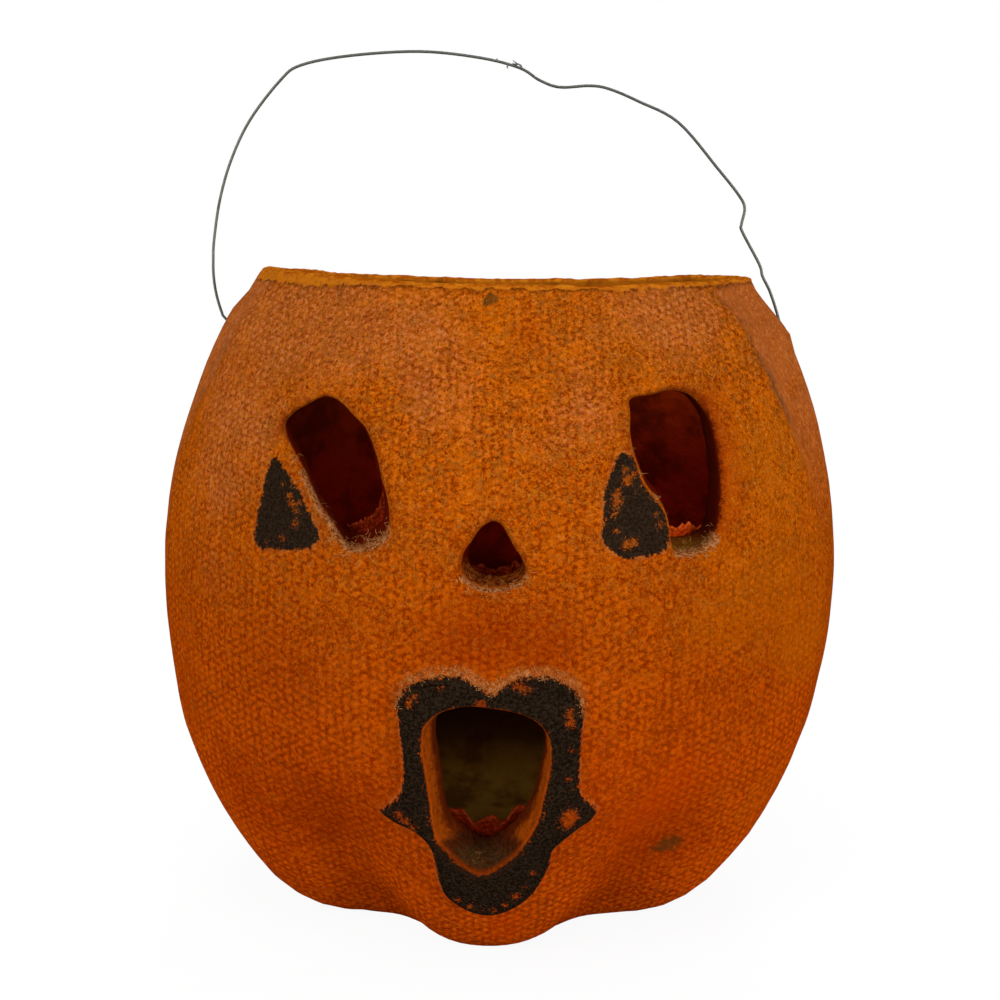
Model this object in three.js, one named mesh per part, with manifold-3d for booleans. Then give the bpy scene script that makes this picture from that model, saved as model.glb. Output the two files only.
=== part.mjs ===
// Jack-o-lantern pail moulded from paper pulp, with a bent wire bail.
// Millimetres. +Z is up and the face looks along -Y. The origin is the centre of the foot,
// on the surface that the lantern stands on.

import * as THREE from 'three';
import { mergeVertices } from 'three/addons/utils/BufferGeometryUtils.js';
import Module from 'manifold-3d';

const wasm = await Module();
wasm.setup();

// Shell: the outside of the pulp wall
const bellyRadius = 82.4;
const bellyHeight = 80;
const rimHeight = 151.5;
const rimRadius = 61;
const shoulderPower = 2.2;
const skirtInset = 27.6;
const skirtPower = 2.12;
const wallThickness = 3;
const rimEdgeRound = 0.8;
const leanPerMillimetre = 0.015;

// Foot: the wall turns in over a round and ends in a flat ring with a raised middle
const footRoundHeight = 19.5;
const footRoundInset = 11;
const footRoundWidth = 24.3;
const footRingInner = 25;
const footRingOuter = 35.5;
const footLiftFull = 56;
const footMiddleRise = 2.5;
const footMiddleRadius = 8;

// Rim warp: the pulp has dried a little out of true
const rimWarpSide = -0.6;
const rimWarpFront = 0.4;
const rimWarpEnds = 2.2;
const rimWarpStart = 118;

// Grooves between the lobes: how deep each kind is, and how far it lifts the foot off the table
const chinGrooveDepth = 7;
const chinGrooveLift = 7;
const sideGrooveDepth = 3;
const sideGrooveLift = 3;
const backGrooveDepth = 3.4;
const backGrooveLift = 4;
const leftCreaseDepth = 1.8;
const rightCreaseDepth = 2.6;

// Heights between which a groove fades out. The chin grooves run up from the foot, and the
// creases at the sides of the face run down from the rim.
const chinGrooveTop = 12;
const chinGrooveEnd = 52;
const leftCreaseFoot = 148;
const leftCreaseEnd = 103;
const rightCreaseFoot = 140;
const rightCreaseEnd = 80;

// Azimuth and half width are in degrees, from the middle of the face and positive towards +X.
const grooves = [
  { azimuth: -29, halfWidth: 14.4, depth: chinGrooveDepth, lift: chinGrooveLift, up: [chinGrooveTop, chinGrooveEnd] },
  { azimuth: 33, halfWidth: 15, depth: chinGrooveDepth, lift: chinGrooveLift, up: [chinGrooveTop, chinGrooveEnd] },
  { azimuth: -67, halfWidth: 5, depth: leftCreaseDepth, lift: 0, down: [leftCreaseFoot, leftCreaseEnd] },
  { azimuth: 67, halfWidth: 4.5, depth: rightCreaseDepth, lift: 0, down: [rightCreaseFoot, rightCreaseEnd] },
  { azimuth: -112, halfWidth: 7, depth: sideGrooveDepth, lift: sideGrooveLift },
  { azimuth: 112, halfWidth: 7, depth: sideGrooveDepth, lift: sideGrooveLift },
  { azimuth: -152, halfWidth: 7, depth: backGrooveDepth, lift: backGrooveLift },
  { azimuth: 152, halfWidth: 7, depth: backGrooveDepth, lift: backGrooveLift },
];
const liftFadeHeight = 55;

// How finely the pieces are stepped
const azimuthSteps = 72;
const wallRows = 18;
const footRows = 4;
const innerWallRows = 9;
const wireHoleSides = 12;
const hookBendSteps = 3;
const surfacePasses = 6;
const mergeDistance = 1e-4;

// Face openings. The pulp turns in round each one as a short funnel.
const funnelDepth = 8;
const funnelWall = 2.4;
const edgeFlare = 1.3;
const softEdgeFlare = 2.2;
const softEdgeShift = 1.5;
const edgeDepth = 2.4;
const lipRelief = 1.4;
const lipBevel = 1.4;
const lipInnerShare = 0.45;
const lipSamples = 44;
const edgeTurn = 1 / 3;
const frontReach = 12;
const backReach = 6;

// Outlines are seen from the front, as x and z from the opening's own centre, and run round it
// clockwise.
const leftEye = {
  x: -31,
  z: 113.5,
  outline: [
    [-11.8, 8.8], [-7.3, 12.8], [-3, 14.7], [2.6, 12.4], [7.8, 5.6], [10, -1.6], [11.2, -7.5],
    [10.2, -11.6], [6.5, -13.6], [1.5, -13], [-4, -6.6], [-8.6, 1.3],
  ],
  samples: 26,
  flare: edgeFlare,
  flareShift: 0,
  relief: 0,
  narrowX: 0.86,
  narrowZ: 0.9,
  shiftX: 0.4,
  shiftZ: 0.8,
};
const rightEye = {
  x: 38.5,
  z: 114.5,
  outline: [
    [-9.6, 12.8], [-6.4, 14.8], [-0.6, 15.9], [4.4, 13.4], [7.6, 7], [8.8, -2], [8.4, -10],
    [5.4, -15.4], [0.4, -16.6], [-2, -12.4], [-4.8, -4.4], [-8, 2.4], [-9.8, 7.2],
  ],
  samples: 26,
  flare: softEdgeFlare,
  flareShift: softEdgeShift,
  relief: 0,
  narrowX: 0.9,
  narrowZ: 0.92,
  shiftX: -0.7,
  shiftZ: 0.9,
};
const nose = {
  x: 1.6,
  z: 98.4,
  outline: [
    [-0.6, 6.8], [1.6, 6], [3.6, 2.2], [5.9, -1.4], [5.6, -4.4], [0, -5.8], [-5.2, -4], [-6, -0.8],
    [-3.6, 3.8],
  ],
  samples: 18,
  flare: edgeFlare,
  flareShift: 0,
  relief: 0,
  narrowX: 0.84,
  narrowZ: 0.86,
  shiftX: 0,
  shiftZ: 0.4,
};
const mouth = {
  x: 0.5,
  z: 49.5,
  outline: [
    [-12.5, 13.6], [-8.6, 17.4], [0.8, 18.4], [8.4, 16.4], [12.3, 11.6], [12.4, 3], [10.2, -7],
    [6, -15.4], [-0.4, -20.6], [-7.2, -15.4], [-11, -6], [-12.6, 5],
  ],
  samples: 28,
  flare: edgeFlare,
  flareShift: 0,
  relief: lipRelief,
  narrowX: 0.84,
  narrowZ: 0.84,
  shiftX: 0.8,
  shiftZ: 2.6,
};
const openings = [leftEye, rightEye, nose, mouth];

// The lips stand out from the face round the mouth, and have a point at each side.
const lipOutline = [
  [-17.8, 20], [-15.1, 23.4], [-9, 25.3], [-3.4, 24.6], [0.7, 21.8], [4.4, 24.2], [9.1, 25.3],
  [14.4, 24.8], [18.8, 20.5], [19.3, 12], [18.9, 1.4], [22.6, -5], [20.4, -8.4], [13.8, -14.2],
  [12.4, -20.4], [9.1, -27.4], [5.9, -30.7], [1.4, -32.7], [-2.7, -32.3], [-6.8, -29.8],
  [-9.9, -24.6], [-11.6, -15], [-15.3, -10.6], [-20.6, -8.2], [-22.4, -6.3], [-18.2, -1.8],
  [-17, 4],
];

// Torn remains of the dyed paper that was pasted behind the openings
const paperThickness = 0.5;
const pasteGap = 0.5;
const scrapSamplesPerCorner = 2;
const paperScraps = [
  {
    name: 'paper_scrap_left_eye',
    behind: leftEye,
    outline: [[1.4, -10.2], [5.6, -9.6], [8.2, -7.2], [9.2, -3.4], [12.6, -6], [12, -11], [8, -14.8], [3, -14.6]],
  },
  {
    name: 'paper_scrap_right_eye',
    behind: rightEye,
    outline: [[-3.8, -13], [-2, -10.4], [1.8, -9.2], [5.4, -10.2], [7.6, -13.4], [5.4, -16.8], [-3, -16.6]],
  },
  {
    name: 'paper_scrap_nose',
    behind: nose,
    outline: [[-6.4, -3.2], [-3.4, -2.6], [0.6, -3.6], [4, -2.4], [6.8, -3], [6.4, -6.6], [-6, -6.4]],
  },
  {
    name: 'paper_scrap_mouth',
    behind: mouth,
    outline: [
      [-9.4, -8.2], [-6.2, -7.4], [-3, -11.6], [0.4, -9], [3, -10.8],
      [6.6, -6.4], [10.4, -8], [7.6, -16], [0, -19.6], [-7.4, -16.4],
    ],
  },
];

// Bail: one length of steel wire, hooked through a hole in each side of the shell
const wireDiameter = 0.7;
const wireClearance = 0.4;
const holeBelowRim = 11.5;
const wireHoleWalls = 6;
const bailRise = 65.8;
const hookDrop = 6.5;
const hookInset = 2;
const hookBendRadius = 1.4;
const legBendRadius = 0.9;
const legOffset = 0.5;
const archSway = 0.5;
const wireSides = 8;
const archSteps = 54;

// The arch from the left leg to the right one: x as a share of the distance from the middle
// to the hole, y as a share of the sway, z as a share of the rise above the holes.
const archRoute = [
  [-1.065, 0, 0.242], [-1.061, 0.4, 0.316], [-1.037, 0.8, 0.464], [-0.993, 1, 0.609],
  [-0.921, 0.8, 0.754], [-0.807, 0.4, 0.897], [-0.73, 0, 0.951], [-0.55, -0.4, 0.985],
  [-0.3, -0.8, 1], [-0.085, -0.6, 0.979], [0.056, -0.2, 0.944], [0.126, 0, 0.901],
  [0.197, 0.2, 0.877], [0.301, 0.6, 0.883], [0.37, 0.8, 0.872], [0.474, 0.8, 0.828],
  [0.614, 0.6, 0.754], [0.757, 0, 0.588], [0.831, -0.6, 0.495], [0.853, -1, 0.448],
  [0.844, -1, 0.391], [0.848, -0.6, 0.362], [0.912, 0, 0.245], [0.947, 0, 0.15],
];

// Materials
const pulpMaterial = new THREE.MeshStandardMaterial({ color: 0xc4570c, roughness: 0.9, metalness: 0 });
const wireMaterial = new THREE.MeshStandardMaterial({ color: 0x5c5d58, roughness: 0.45, metalness: 0.9 });

function smoothStep(value, low, high) {
  const t = Math.min(1, Math.max(0, (value - low) / (high - low)));
  return t * t * (3 - 2 * t);
}

function degrees(angle) {
  return THREE.MathUtils.radToDeg(angle);
}

// Radius of the plain wall, before the grooves, at a height above the foot round.
function wallRadius(z) {
  if (z >= bellyHeight) {
    const up = (z - bellyHeight) / (rimHeight - bellyHeight);
    return bellyRadius - (bellyRadius - rimRadius) * up ** shoulderPower;
  }
  const down = (bellyHeight - z) / bellyHeight;
  return bellyRadius - skirtInset * down ** skirtPower;
}

// Share of each groove that is felt at an azimuth, in radians.
function grooveShare(groove, azimuth) {
  let away = (degrees(azimuth) - groove.azimuth) % 360;
  if (away > 180) away -= 360;
  if (away < -180) away += 360;
  return Math.exp(-((away / groove.halfWidth) ** 2));
}

function grooveDepth(azimuth, z) {
  let depth = 0;
  for (const groove of grooves) {
    let share = grooveShare(groove, azimuth);
    if (groove.up) share *= 1 - smoothStep(z, groove.up[0], groove.up[1]);
    if (groove.down) share *= smoothStep(z, groove.down[1], groove.down[0]);
    depth += groove.depth * share;
  }
  return depth;
}

function footLift(azimuth) {
  let lift = 0;
  for (const groove of grooves) lift += groove.lift * grooveShare(groove, azimuth);
  return lift;
}

function rimWarp(azimuth) {
  const ends = (1 - Math.cos(2 * azimuth)) / 2;
  return rimWarpSide * Math.sin(azimuth) + rimWarpFront * Math.cos(azimuth) + rimWarpEnds * ends;
}

function leanShift(z) {
  return leanPerMillimetre * (z - bellyHeight);
}

// Place of a point of the plain profile, (radius, z), on the lobed, warped and leaning shell.
function shellPoint(azimuth, radius, z) {
  const outer = smoothStep(radius, footRingOuter, footLiftFull);
  const grooved = radius - outer * grooveDepth(azimuth, z);
  const lift = footLift(azimuth) * outer * (1 - smoothStep(z, footRoundHeight, liftFadeHeight));
  const warp = rimWarp(azimuth) * smoothStep(z, rimWarpStart, rimHeight);
  return new THREE.Vector3(
    grooved * Math.sin(azimuth) + leanShift(z),
    -grooved * Math.cos(azimuth),
    z + lift + warp,
  );
}

// Front surface of the shell, as y, at a point seen from the front.
function faceSurface(x, z) {
  const across = x - leanShift(z);
  let azimuth = Math.asin(across / wallRadius(z));
  for (let pass = 0; pass < surfacePasses; pass += 1) {
    azimuth = Math.asin(across / (wallRadius(z) - grooveDepth(azimuth, z)));
  }
  return -(wallRadius(z) - grooveDepth(azimuth, z)) * Math.cos(azimuth);
}

// Profile of the outside from the middle of the foot to the rim, as (radius, z).
function outsideProfile(rows) {
  const wallFoot = wallRadius(footRoundHeight);
  const floorEdge = wallFoot - footRoundWidth;
  const floor = [0, footMiddleRadius, (footMiddleRadius + footRingInner) / 2, footRingInner, footRingOuter];
  const points = floor.map((radius) => {
    const rise = footMiddleRise * (1 - smoothStep(radius, footMiddleRadius, footRingInner));
    return new THREE.Vector2(radius, rise);
  });
  const round = new THREE.QuadraticBezierCurve(
    new THREE.Vector2(floorEdge, 0),
    new THREE.Vector2(wallFoot - footRoundInset, 0),
    new THREE.Vector2(wallFoot, footRoundHeight),
  );
  points.push(...round.getPoints(footRows));
  for (let row = 1; row <= rows; row += 1) {
    const z = footRoundHeight + (rimHeight - footRoundHeight) * (row / rows);
    points.push(new THREE.Vector2(wallRadius(z), z));
  }
  return points;
}

// The same profile a wall's thickness inside, cut level with the rim.
function insideProfile(rows) {
  const outside = outsideProfile(rows);
  const inside = outside.map((point, index) => {
    const before = outside[Math.max(0, index - 1)];
    const after = outside[Math.min(outside.length - 1, index + 1)];
    const along = after.clone().sub(before).normalize();
    return new THREE.Vector2(point.x - along.y * wallThickness, point.y + along.x * wallThickness);
  });
  inside[0].x = 0;
  const last = inside[inside.length - 1];
  const previous = inside[inside.length - 2];
  const reach = (rimHeight - previous.y) / (last.y - previous.y);
  last.lerpVectors(previous, last, reach);
  return inside;
}

// Closed skin from the middle of the foot, up the outside, over the rim and down the inside.
function shellGeometry() {
  const outside = outsideProfile(wallRows);
  const inside = insideProfile(innerWallRows);
  const top = outside.pop();
  outside.push(new THREE.Vector2(top.x + rimEdgeRound / 2, top.y - rimEdgeRound));
  outside.push(new THREE.Vector2(top.x - rimEdgeRound / 2, top.y));
  const rows = [...outside, ...inside.reverse()];
  const positions = [];
  const first = shellPoint(0, 0, rows[0].y);
  const last = shellPoint(0, 0, rows[rows.length - 1].y);
  positions.push(...first.toArray());
  for (const row of rows.slice(1, -1)) {
    for (let step = 0; step < azimuthSteps; step += 1) {
      const azimuth = (2 * Math.PI * step) / azimuthSteps;
      positions.push(...shellPoint(azimuth, row.x, row.y).toArray());
    }
  }
  positions.push(...last.toArray());
  return skinGeometry(positions, rows.length - 2, azimuthSteps);
}

// Triangles over rings of points, closed at both ends by a fan to a single point.
function skinGeometry(positions, ringCount, ringSize) {
  const index = [];
  const at = (ring, step) => 1 + ring * ringSize + (step % ringSize);
  const lastPoint = 1 + ringCount * ringSize;
  for (let step = 0; step < ringSize; step += 1) {
    index.push(0, at(0, step + 1), at(0, step));
    for (let ring = 0; ring + 1 < ringCount; ring += 1) {
      index.push(at(ring, step), at(ring, step + 1), at(ring + 1, step + 1));
      index.push(at(ring, step), at(ring + 1, step + 1), at(ring + 1, step));
    }
    index.push(at(ringCount - 1, step), at(ringCount - 1, step + 1), lastPoint);
  }
  const geometry = new THREE.BufferGeometry();
  geometry.setAttribute('position', new THREE.Float32BufferAttribute(positions, 3));
  geometry.setIndex(index);
  return geometry;
}

// An outline seen from the front, smoothed through its points, and moved outward by a margin.
function smoothOutline(opening, outline, samples, margin) {
  const corners = outline.map(([x, z]) => new THREE.Vector3(opening.x + x, 0, opening.z + z));
  const curve = new THREE.CatmullRomCurve3(corners, true, 'centripetal');
  const points = [];
  for (let step = 0; step < samples; step += 1) {
    const place = curve.getPointAt(step / samples);
    const along = curve.getTangentAt(step / samples);
    points.push(new THREE.Vector2(place.x - along.z * margin, place.z + along.x * margin));
  }
  return points;
}

// Solid between rings that follow the face at given depths behind its surface.
function solidBehindFace(rings) {
  const size = rings[0].points.length;
  const positions = [];
  const pointAt = (ring, x, z) => {
    const y = ring.y === undefined ? faceSurface(x, z) + ring.depth : ring.y;
    positions.push(x, y, z);
  };
  const middle = (ring) => {
    const sum = ring.points.reduce((total, point) => total.add(point), new THREE.Vector2());
    return sum.divideScalar(size);
  };
  const front = middle(rings[0]);
  const back = middle(rings[rings.length - 1]);
  pointAt(rings[0], front.x, front.y);
  for (const ring of rings) {
    for (const point of ring.points) pointAt(ring, point.x, point.y);
  }
  pointAt(rings[rings.length - 1], back.x, back.y);
  return skinGeometry(positions, rings.length, size);
}

// The opening's outline at the back end of its funnel.
function funnelEnd(opening, points) {
  return points.map((point) => new THREE.Vector2(
    opening.x + (point.x - opening.x) * opening.narrowX + opening.shiftX,
    opening.z + (point.y - opening.z) * opening.narrowZ + opening.shiftZ,
  ));
}

function openingOutline(opening, margin) {
  return smoothOutline(opening, opening.outline, opening.samples, margin);
}

// The outline of the soft edge, which may be wider on one side of the opening than on the other.
function flaredOutline(opening, share) {
  const points = openingOutline(opening, opening.flare * share);
  const shift = new THREE.Vector2(opening.flareShift * share, 0);
  return points.map((point) => point.add(shift));
}

// What is cut away at an opening: a soft edge, then the funnel, then a straight way into the shell.
function openingCut(opening) {
  const edge = openingOutline(opening, 0);
  const end = funnelEnd(opening, edge);
  const rise = opening.relief + edgeDepth;
  return solidBehindFace([
    { points: flaredOutline(opening, 1), y: -(bellyRadius + frontReach) },
    { points: flaredOutline(opening, 1), depth: -opening.relief },
    { points: flaredOutline(opening, edgeTurn), depth: rise * edgeTurn - opening.relief },
    { points: edge, depth: edgeDepth },
    { points: end, depth: funnelDepth },
    { points: end, depth: funnelDepth + backReach },
  ]);
}

// The raised lips, as far in as the mouth's own cut.
function raisedLips() {
  const foot = smoothOutline(mouth, lipOutline, lipSamples, 0);
  const crest = smoothOutline(mouth, lipOutline, lipSamples, -lipBevel);
  const inner = crest.map((point) => new THREE.Vector2(
    mouth.x + (point.x - mouth.x) * lipInnerShare,
    mouth.z + (point.y - mouth.z) * lipInnerShare,
  ));
  return solidBehindFace([
    { points: inner, depth: -lipRelief },
    { points: crest, depth: -lipRelief },
    { points: foot, depth: 0 },
    { points: foot, depth: wallThickness / 2 },
  ]);
}

// The turned-in pulp round an opening, before it is cut.
function openingCollar(opening) {
  const start = openingOutline(opening, funnelWall);
  const end = funnelEnd(opening, start);
  return solidBehindFace([
    { points: start, depth: wallThickness / 2 },
    { points: end, depth: funnelDepth },
  ]);
}

function scrapGeometry(scrap) {
  const points = smoothOutline(scrap.behind, scrap.outline, scrap.outline.length * scrapSamplesPerCorner, 0);
  const depth = funnelDepth + pasteGap;
  return solidBehindFace([
    { points, depth },
    { points, depth: depth + paperThickness },
  ]);
}

// Solids for joining and cutting
function solidFrom(geometry) {
  const plain = geometry.clone();
  for (const name of Object.keys(plain.attributes)) {
    if (name !== 'position') plain.deleteAttribute(name);
  }
  const merged = mergeVertices(plain, mergeDistance);
  return new wasm.Manifold(new wasm.Mesh({
    numProp: 3,
    vertProperties: new Float32Array(merged.attributes.position.array),
    triVerts: new Uint32Array(merged.index.array),
  }));
}

function geometryFrom(solid) {
  const mesh = solid.getMesh();
  const geometry = new THREE.BufferGeometry();
  geometry.setAttribute('position', new THREE.Float32BufferAttribute(mesh.vertProperties, 3));
  geometry.setIndex(new THREE.Uint32BufferAttribute(mesh.triVerts, 1));
  geometry.computeVertexNormals();
  return geometry;
}

// Where the wire goes through the wall, on the left with side -1 and on the right with side 1
const pivotHeight = rimHeight - holeBelowRim;
function holeReach(side) {
  return wallRadius(pivotHeight) + side * leanShift(pivotHeight);
}

function wireHole(side) {
  const radius = wireDiameter / 2 + wireClearance;
  const length = wireHoleWalls * wallThickness;
  const geometry = new THREE.CylinderGeometry(radius, radius, length, wireHoleSides);
  geometry.rotateZ(Math.PI / 2);
  geometry.translate(side * holeReach(side), 0, pivotHeight);
  return geometry;
}

function makeShell() {
  let solid = solidFrom(shellGeometry());
  for (const opening of openings) solid = solid.add(solidFrom(openingCollar(opening)));
  solid = solid.add(solidFrom(raisedLips()));
  for (const opening of openings) solid = solid.subtract(solidFrom(openingCut(opening)));
  for (const side of [-1, 1]) solid = solid.subtract(solidFrom(wireHole(side)));
  return geometryFrom(solid);
}

// A wire bent at chosen stations, so that straight lengths stay straight.
class BentWire extends THREE.Curve {
  constructor(stations) {
    super();
    this.stations = stations;
  }

  getPoint(t, target = new THREE.Vector3()) {
    const place = t * (this.stations.length - 1);
    const index = Math.min(this.stations.length - 2, Math.floor(place));
    return target.lerpVectors(this.stations[index], this.stations[index + 1], place - index);
  }

  getSpacedPoints() {
    return this.stations.map((station) => station.clone());
  }

  getTangentAt(u, target = new THREE.Vector3()) {
    const index = Math.round(u * (this.stations.length - 1));
    const here = this.stations[index];
    target.set(0, 0, 0);
    if (index > 0) target.add(here.clone().sub(this.stations[index - 1]).normalize());
    if (index + 1 < this.stations.length) target.add(this.stations[index + 1].clone().sub(here).normalize());
    return target.normalize();
  }
}

// A quarter bend from one point to another round their shared corner.
function bend(from, corner, to) {
  return new THREE.QuadraticBezierCurve3(from, corner, to).getPoints(hookBendSteps);
}

// The wire's end on one side, from the tip of the hook inside to the foot of the leg outside.
function hookStations(side) {
  const inside = holeReach(side) - wallThickness - hookInset;
  const outside = holeReach(side) + legOffset;
  const point = (reach, z) => new THREE.Vector3(side * reach, 0, z);
  return [
    point(inside - hookBendRadius, pivotHeight - hookDrop),
    ...bend(
      point(inside - hookBendRadius, pivotHeight - hookBendRadius),
      point(inside - hookBendRadius, pivotHeight),
      point(inside, pivotHeight),
    ),
    ...bend(
      point(outside, pivotHeight),
      point(outside + legBendRadius, pivotHeight),
      point(outside + legBendRadius, pivotHeight + legBendRadius),
    ),
  ];
}

// One point of the arch. Below the rim the wire keeps clear of the shell's outside.
function archPoint([across, sway, up]) {
  const side = Math.sign(across);
  const z = pivotHeight + up * bailRise;
  let reach = Math.abs(across) * holeReach(side);
  if (z < rimHeight + rimWarpEnds + wireDiameter) {
    const outside = wallRadius(Math.min(z, rimHeight)) + side * leanShift(z);
    reach = Math.max(reach, outside + wireDiameter / 2 + wireClearance);
  }
  return new THREE.Vector3(side * reach, sway * archSway, z);
}

function makeBail() {
  const arch = archRoute.map(archPoint);
  const curve = new THREE.CatmullRomCurve3(arch, false, 'centripetal');
  const stations = [
    ...hookStations(-1),
    ...curve.getSpacedPoints(archSteps),
    ...hookStations(1).reverse(),
  ];
  const section = new THREE.Shape(
    Array.from({ length: wireSides }, (_, side) => {
      const angle = (2 * Math.PI * side) / wireSides;
      return new THREE.Vector2(Math.cos(angle), Math.sin(angle)).multiplyScalar(wireDiameter / 2);
    }),
  );
  return new THREE.ExtrudeGeometry(section, {
    steps: stations.length - 1,
    extrudePath: new BentWire(stations),
    bevelEnabled: false,
  });
}

// Assembly
const lantern = new THREE.Group();

function addPart(name, geometry, material) {
  const mesh = new THREE.Mesh(geometry, material);
  mesh.name = name;
  lantern.add(mesh);
}

addPart('pulp_shell', makeShell(), pulpMaterial);
addPart('wire_bail', makeBail(), wireMaterial);
for (const scrap of paperScraps) {
  const paper = new THREE.MeshStandardMaterial({ color: 0xa8300c, roughness: 0.85, metalness: 0 });
  addPart(scrap.name, scrapGeometry(scrap), paper);
}

export default lantern;
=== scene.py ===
# %% [markdown]
# A jack-o-lantern pail of moulded paper pulp
#
# The real thing is one piece of grey paper pulp, sucked on to a screen in the shape of a pumpkin,
# dried, dipped in orange and painted by hand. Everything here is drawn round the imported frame,
# in metres, with +Z up and the face looking along -Y.

# %% The frame
import math
import random

import bpy
import numpy as np
from mathutils import Matrix, Vector, noise


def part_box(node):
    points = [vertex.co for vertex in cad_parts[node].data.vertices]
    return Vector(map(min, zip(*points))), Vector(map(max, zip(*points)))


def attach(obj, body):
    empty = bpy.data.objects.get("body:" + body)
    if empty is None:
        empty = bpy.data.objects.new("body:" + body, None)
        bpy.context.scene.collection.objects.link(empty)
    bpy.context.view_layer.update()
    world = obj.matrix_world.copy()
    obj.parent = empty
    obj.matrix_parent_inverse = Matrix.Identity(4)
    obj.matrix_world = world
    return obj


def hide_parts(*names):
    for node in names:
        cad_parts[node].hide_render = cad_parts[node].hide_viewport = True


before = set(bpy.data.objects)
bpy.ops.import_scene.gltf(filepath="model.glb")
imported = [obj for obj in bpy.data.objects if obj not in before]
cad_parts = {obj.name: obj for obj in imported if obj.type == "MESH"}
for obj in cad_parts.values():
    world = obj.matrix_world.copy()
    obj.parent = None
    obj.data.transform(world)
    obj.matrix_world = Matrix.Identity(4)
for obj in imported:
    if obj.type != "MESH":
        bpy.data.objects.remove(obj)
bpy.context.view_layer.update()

MM = 0.001
print("CAD nodes:", ", ".join(sorted(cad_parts)))


# %% [markdown]
# Two habits for modelling by operators
#
# An operator works on whatever is selected, so each piece starts by dropping the selection. In
# edit mode the vertices, edges or faces are picked in code, by a list of true and false.

# %% Selection helpers
def start_clean():
    """Nothing selected, in object mode."""
    if bpy.context.object and bpy.context.object.mode != "OBJECT":
        bpy.ops.object.mode_set(mode="OBJECT")
    bpy.ops.object.select_all(action="DESELECT")


def make_active(piece):
    start_clean()
    piece.select_set(True)
    bpy.context.view_layer.objects.active = piece


def pick(piece, kind, chosen):
    """In edit mode, select these vertices, edges or faces and nothing else."""
    make_active(piece)
    bpy.ops.object.mode_set(mode="EDIT")
    bpy.ops.mesh.select_mode(type={"vertices": "VERT", "edges": "EDGE", "polygons": "FACE"}[kind])
    bpy.ops.mesh.select_all(action="DESELECT")
    bpy.ops.object.mode_set(mode="OBJECT")
    getattr(piece.data, kind).foreach_set("select", np.asarray(chosen, bool))
    bpy.ops.object.mode_set(mode="EDIT")


def corners(piece):
    """The vertices' places, one row each."""
    flat = np.empty(len(piece.data.vertices) * 3)
    piece.data.vertices.foreach_get("co", flat)
    return flat.reshape(-1, 3)


def move_corners(piece, places):
    piece.data.vertices.foreach_set("co", np.asarray(places, float).ravel())
    piece.data.update()


def face_middles(piece):
    flat = np.empty(len(piece.data.polygons) * 3)
    piece.data.polygons.foreach_get("center", flat)
    return flat.reshape(-1, 3)


def write_value(piece, name, values):
    """A number, or a triple of numbers, kept on every vertex for a material to read."""
    values = np.asarray(values, float)
    kind = "FLOAT" if values.ndim == 1 else "FLOAT_VECTOR"
    layer = piece.data.attributes.get(name) or piece.data.attributes.new(name, kind, "POINT")
    layer.data.foreach_set("value" if values.ndim == 1 else "vector", values.ravel())


def read_value(piece, name):
    values = np.empty(len(piece.data.vertices))
    piece.data.attributes[name].data.foreach_get("value", values)
    return values


# %% [markdown]
# The pumpkin's shape as a formula
#
# The CAD model turns a profile round the middle and then presses grooves into it. The same sizes
# are used here, in millimetres, so that the fine skin lies on the coarse one. A point of the skin
# is named by the angle round the pumpkin and by how far it has come along the profile: from the
# middle of the foot, up the outside, over the rim and down the inside.

# %% Sizes of the shell, in millimetres
BELLY_RADIUS = 82.4
BELLY_HEIGHT = 80
RIM_HEIGHT = 151.5
RIM_RADIUS = 61
SHOULDER_POWER = 2.2
SKIRT_INSET = 27.6
SKIRT_POWER = 2.12
WALL = 3
LEAN = 0.015
FOOT_ROUND = {"height": 19.5, "inset": 11, "width": 24.3}
FOOT_RING = (25, 35.5)
FOOT_LIFT_FULL = 56
FOOT_MIDDLE = {"rise": 2.5, "radius": 8}
RIM_WARP = {"side": -0.6, "front": 0.4, "ends": 2.2, "start": 118, "back": 0.7}
RIM_PINCH = {"share": 0.037, "from": 140.5, "to": 149}
LIFT_FADE_HEIGHT = 55
RIM_ROUND = 1.1
RIM_FLATNESS = 0.7

# Azimuth and half width in degrees, depth and lift in mm, and the two heights between which a
# groove that runs up from the foot, or down from the rim, fades away.
GROOVES = [
    {"azimuth": -29, "half": 14.4, "depth": 7, "lift": 7, "up": (12, 52)},
    {"azimuth": 33, "half": 15, "depth": 7, "lift": 7, "up": (12, 52)},
    {"azimuth": -67, "half": 5, "depth": 1.8, "lift": 0, "down": (148, 103)},
    {"azimuth": 67, "half": 4.5, "depth": 2.6, "lift": 0, "down": (140, 80)},
    {"azimuth": -112, "half": 7, "depth": 3, "lift": 3},
    {"azimuth": 112, "half": 7, "depth": 3, "lift": 3},
    {"azimuth": -152, "half": 7, "depth": 3.4, "lift": 4},
    {"azimuth": 152, "half": 7, "depth": 3.4, "lift": 4},
]
print("belly:", 2 * BELLY_RADIUS, "mm across, grooves:", len(GROOVES))


# %% The profile and the grooves
def smooth(value, low, high):
    t = np.clip((value - low) / (high - low), 0, 1)
    return t * t * (3 - 2 * t)


def wall_radius(height):
    above = np.clip((height - BELLY_HEIGHT) / (RIM_HEIGHT - BELLY_HEIGHT), 0, None)
    below = np.clip((BELLY_HEIGHT - height) / BELLY_HEIGHT, 0, None)
    taper = (BELLY_RADIUS - RIM_RADIUS) * above**SHOULDER_POWER
    return BELLY_RADIUS - taper - SKIRT_INSET * below**SKIRT_POWER


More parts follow.
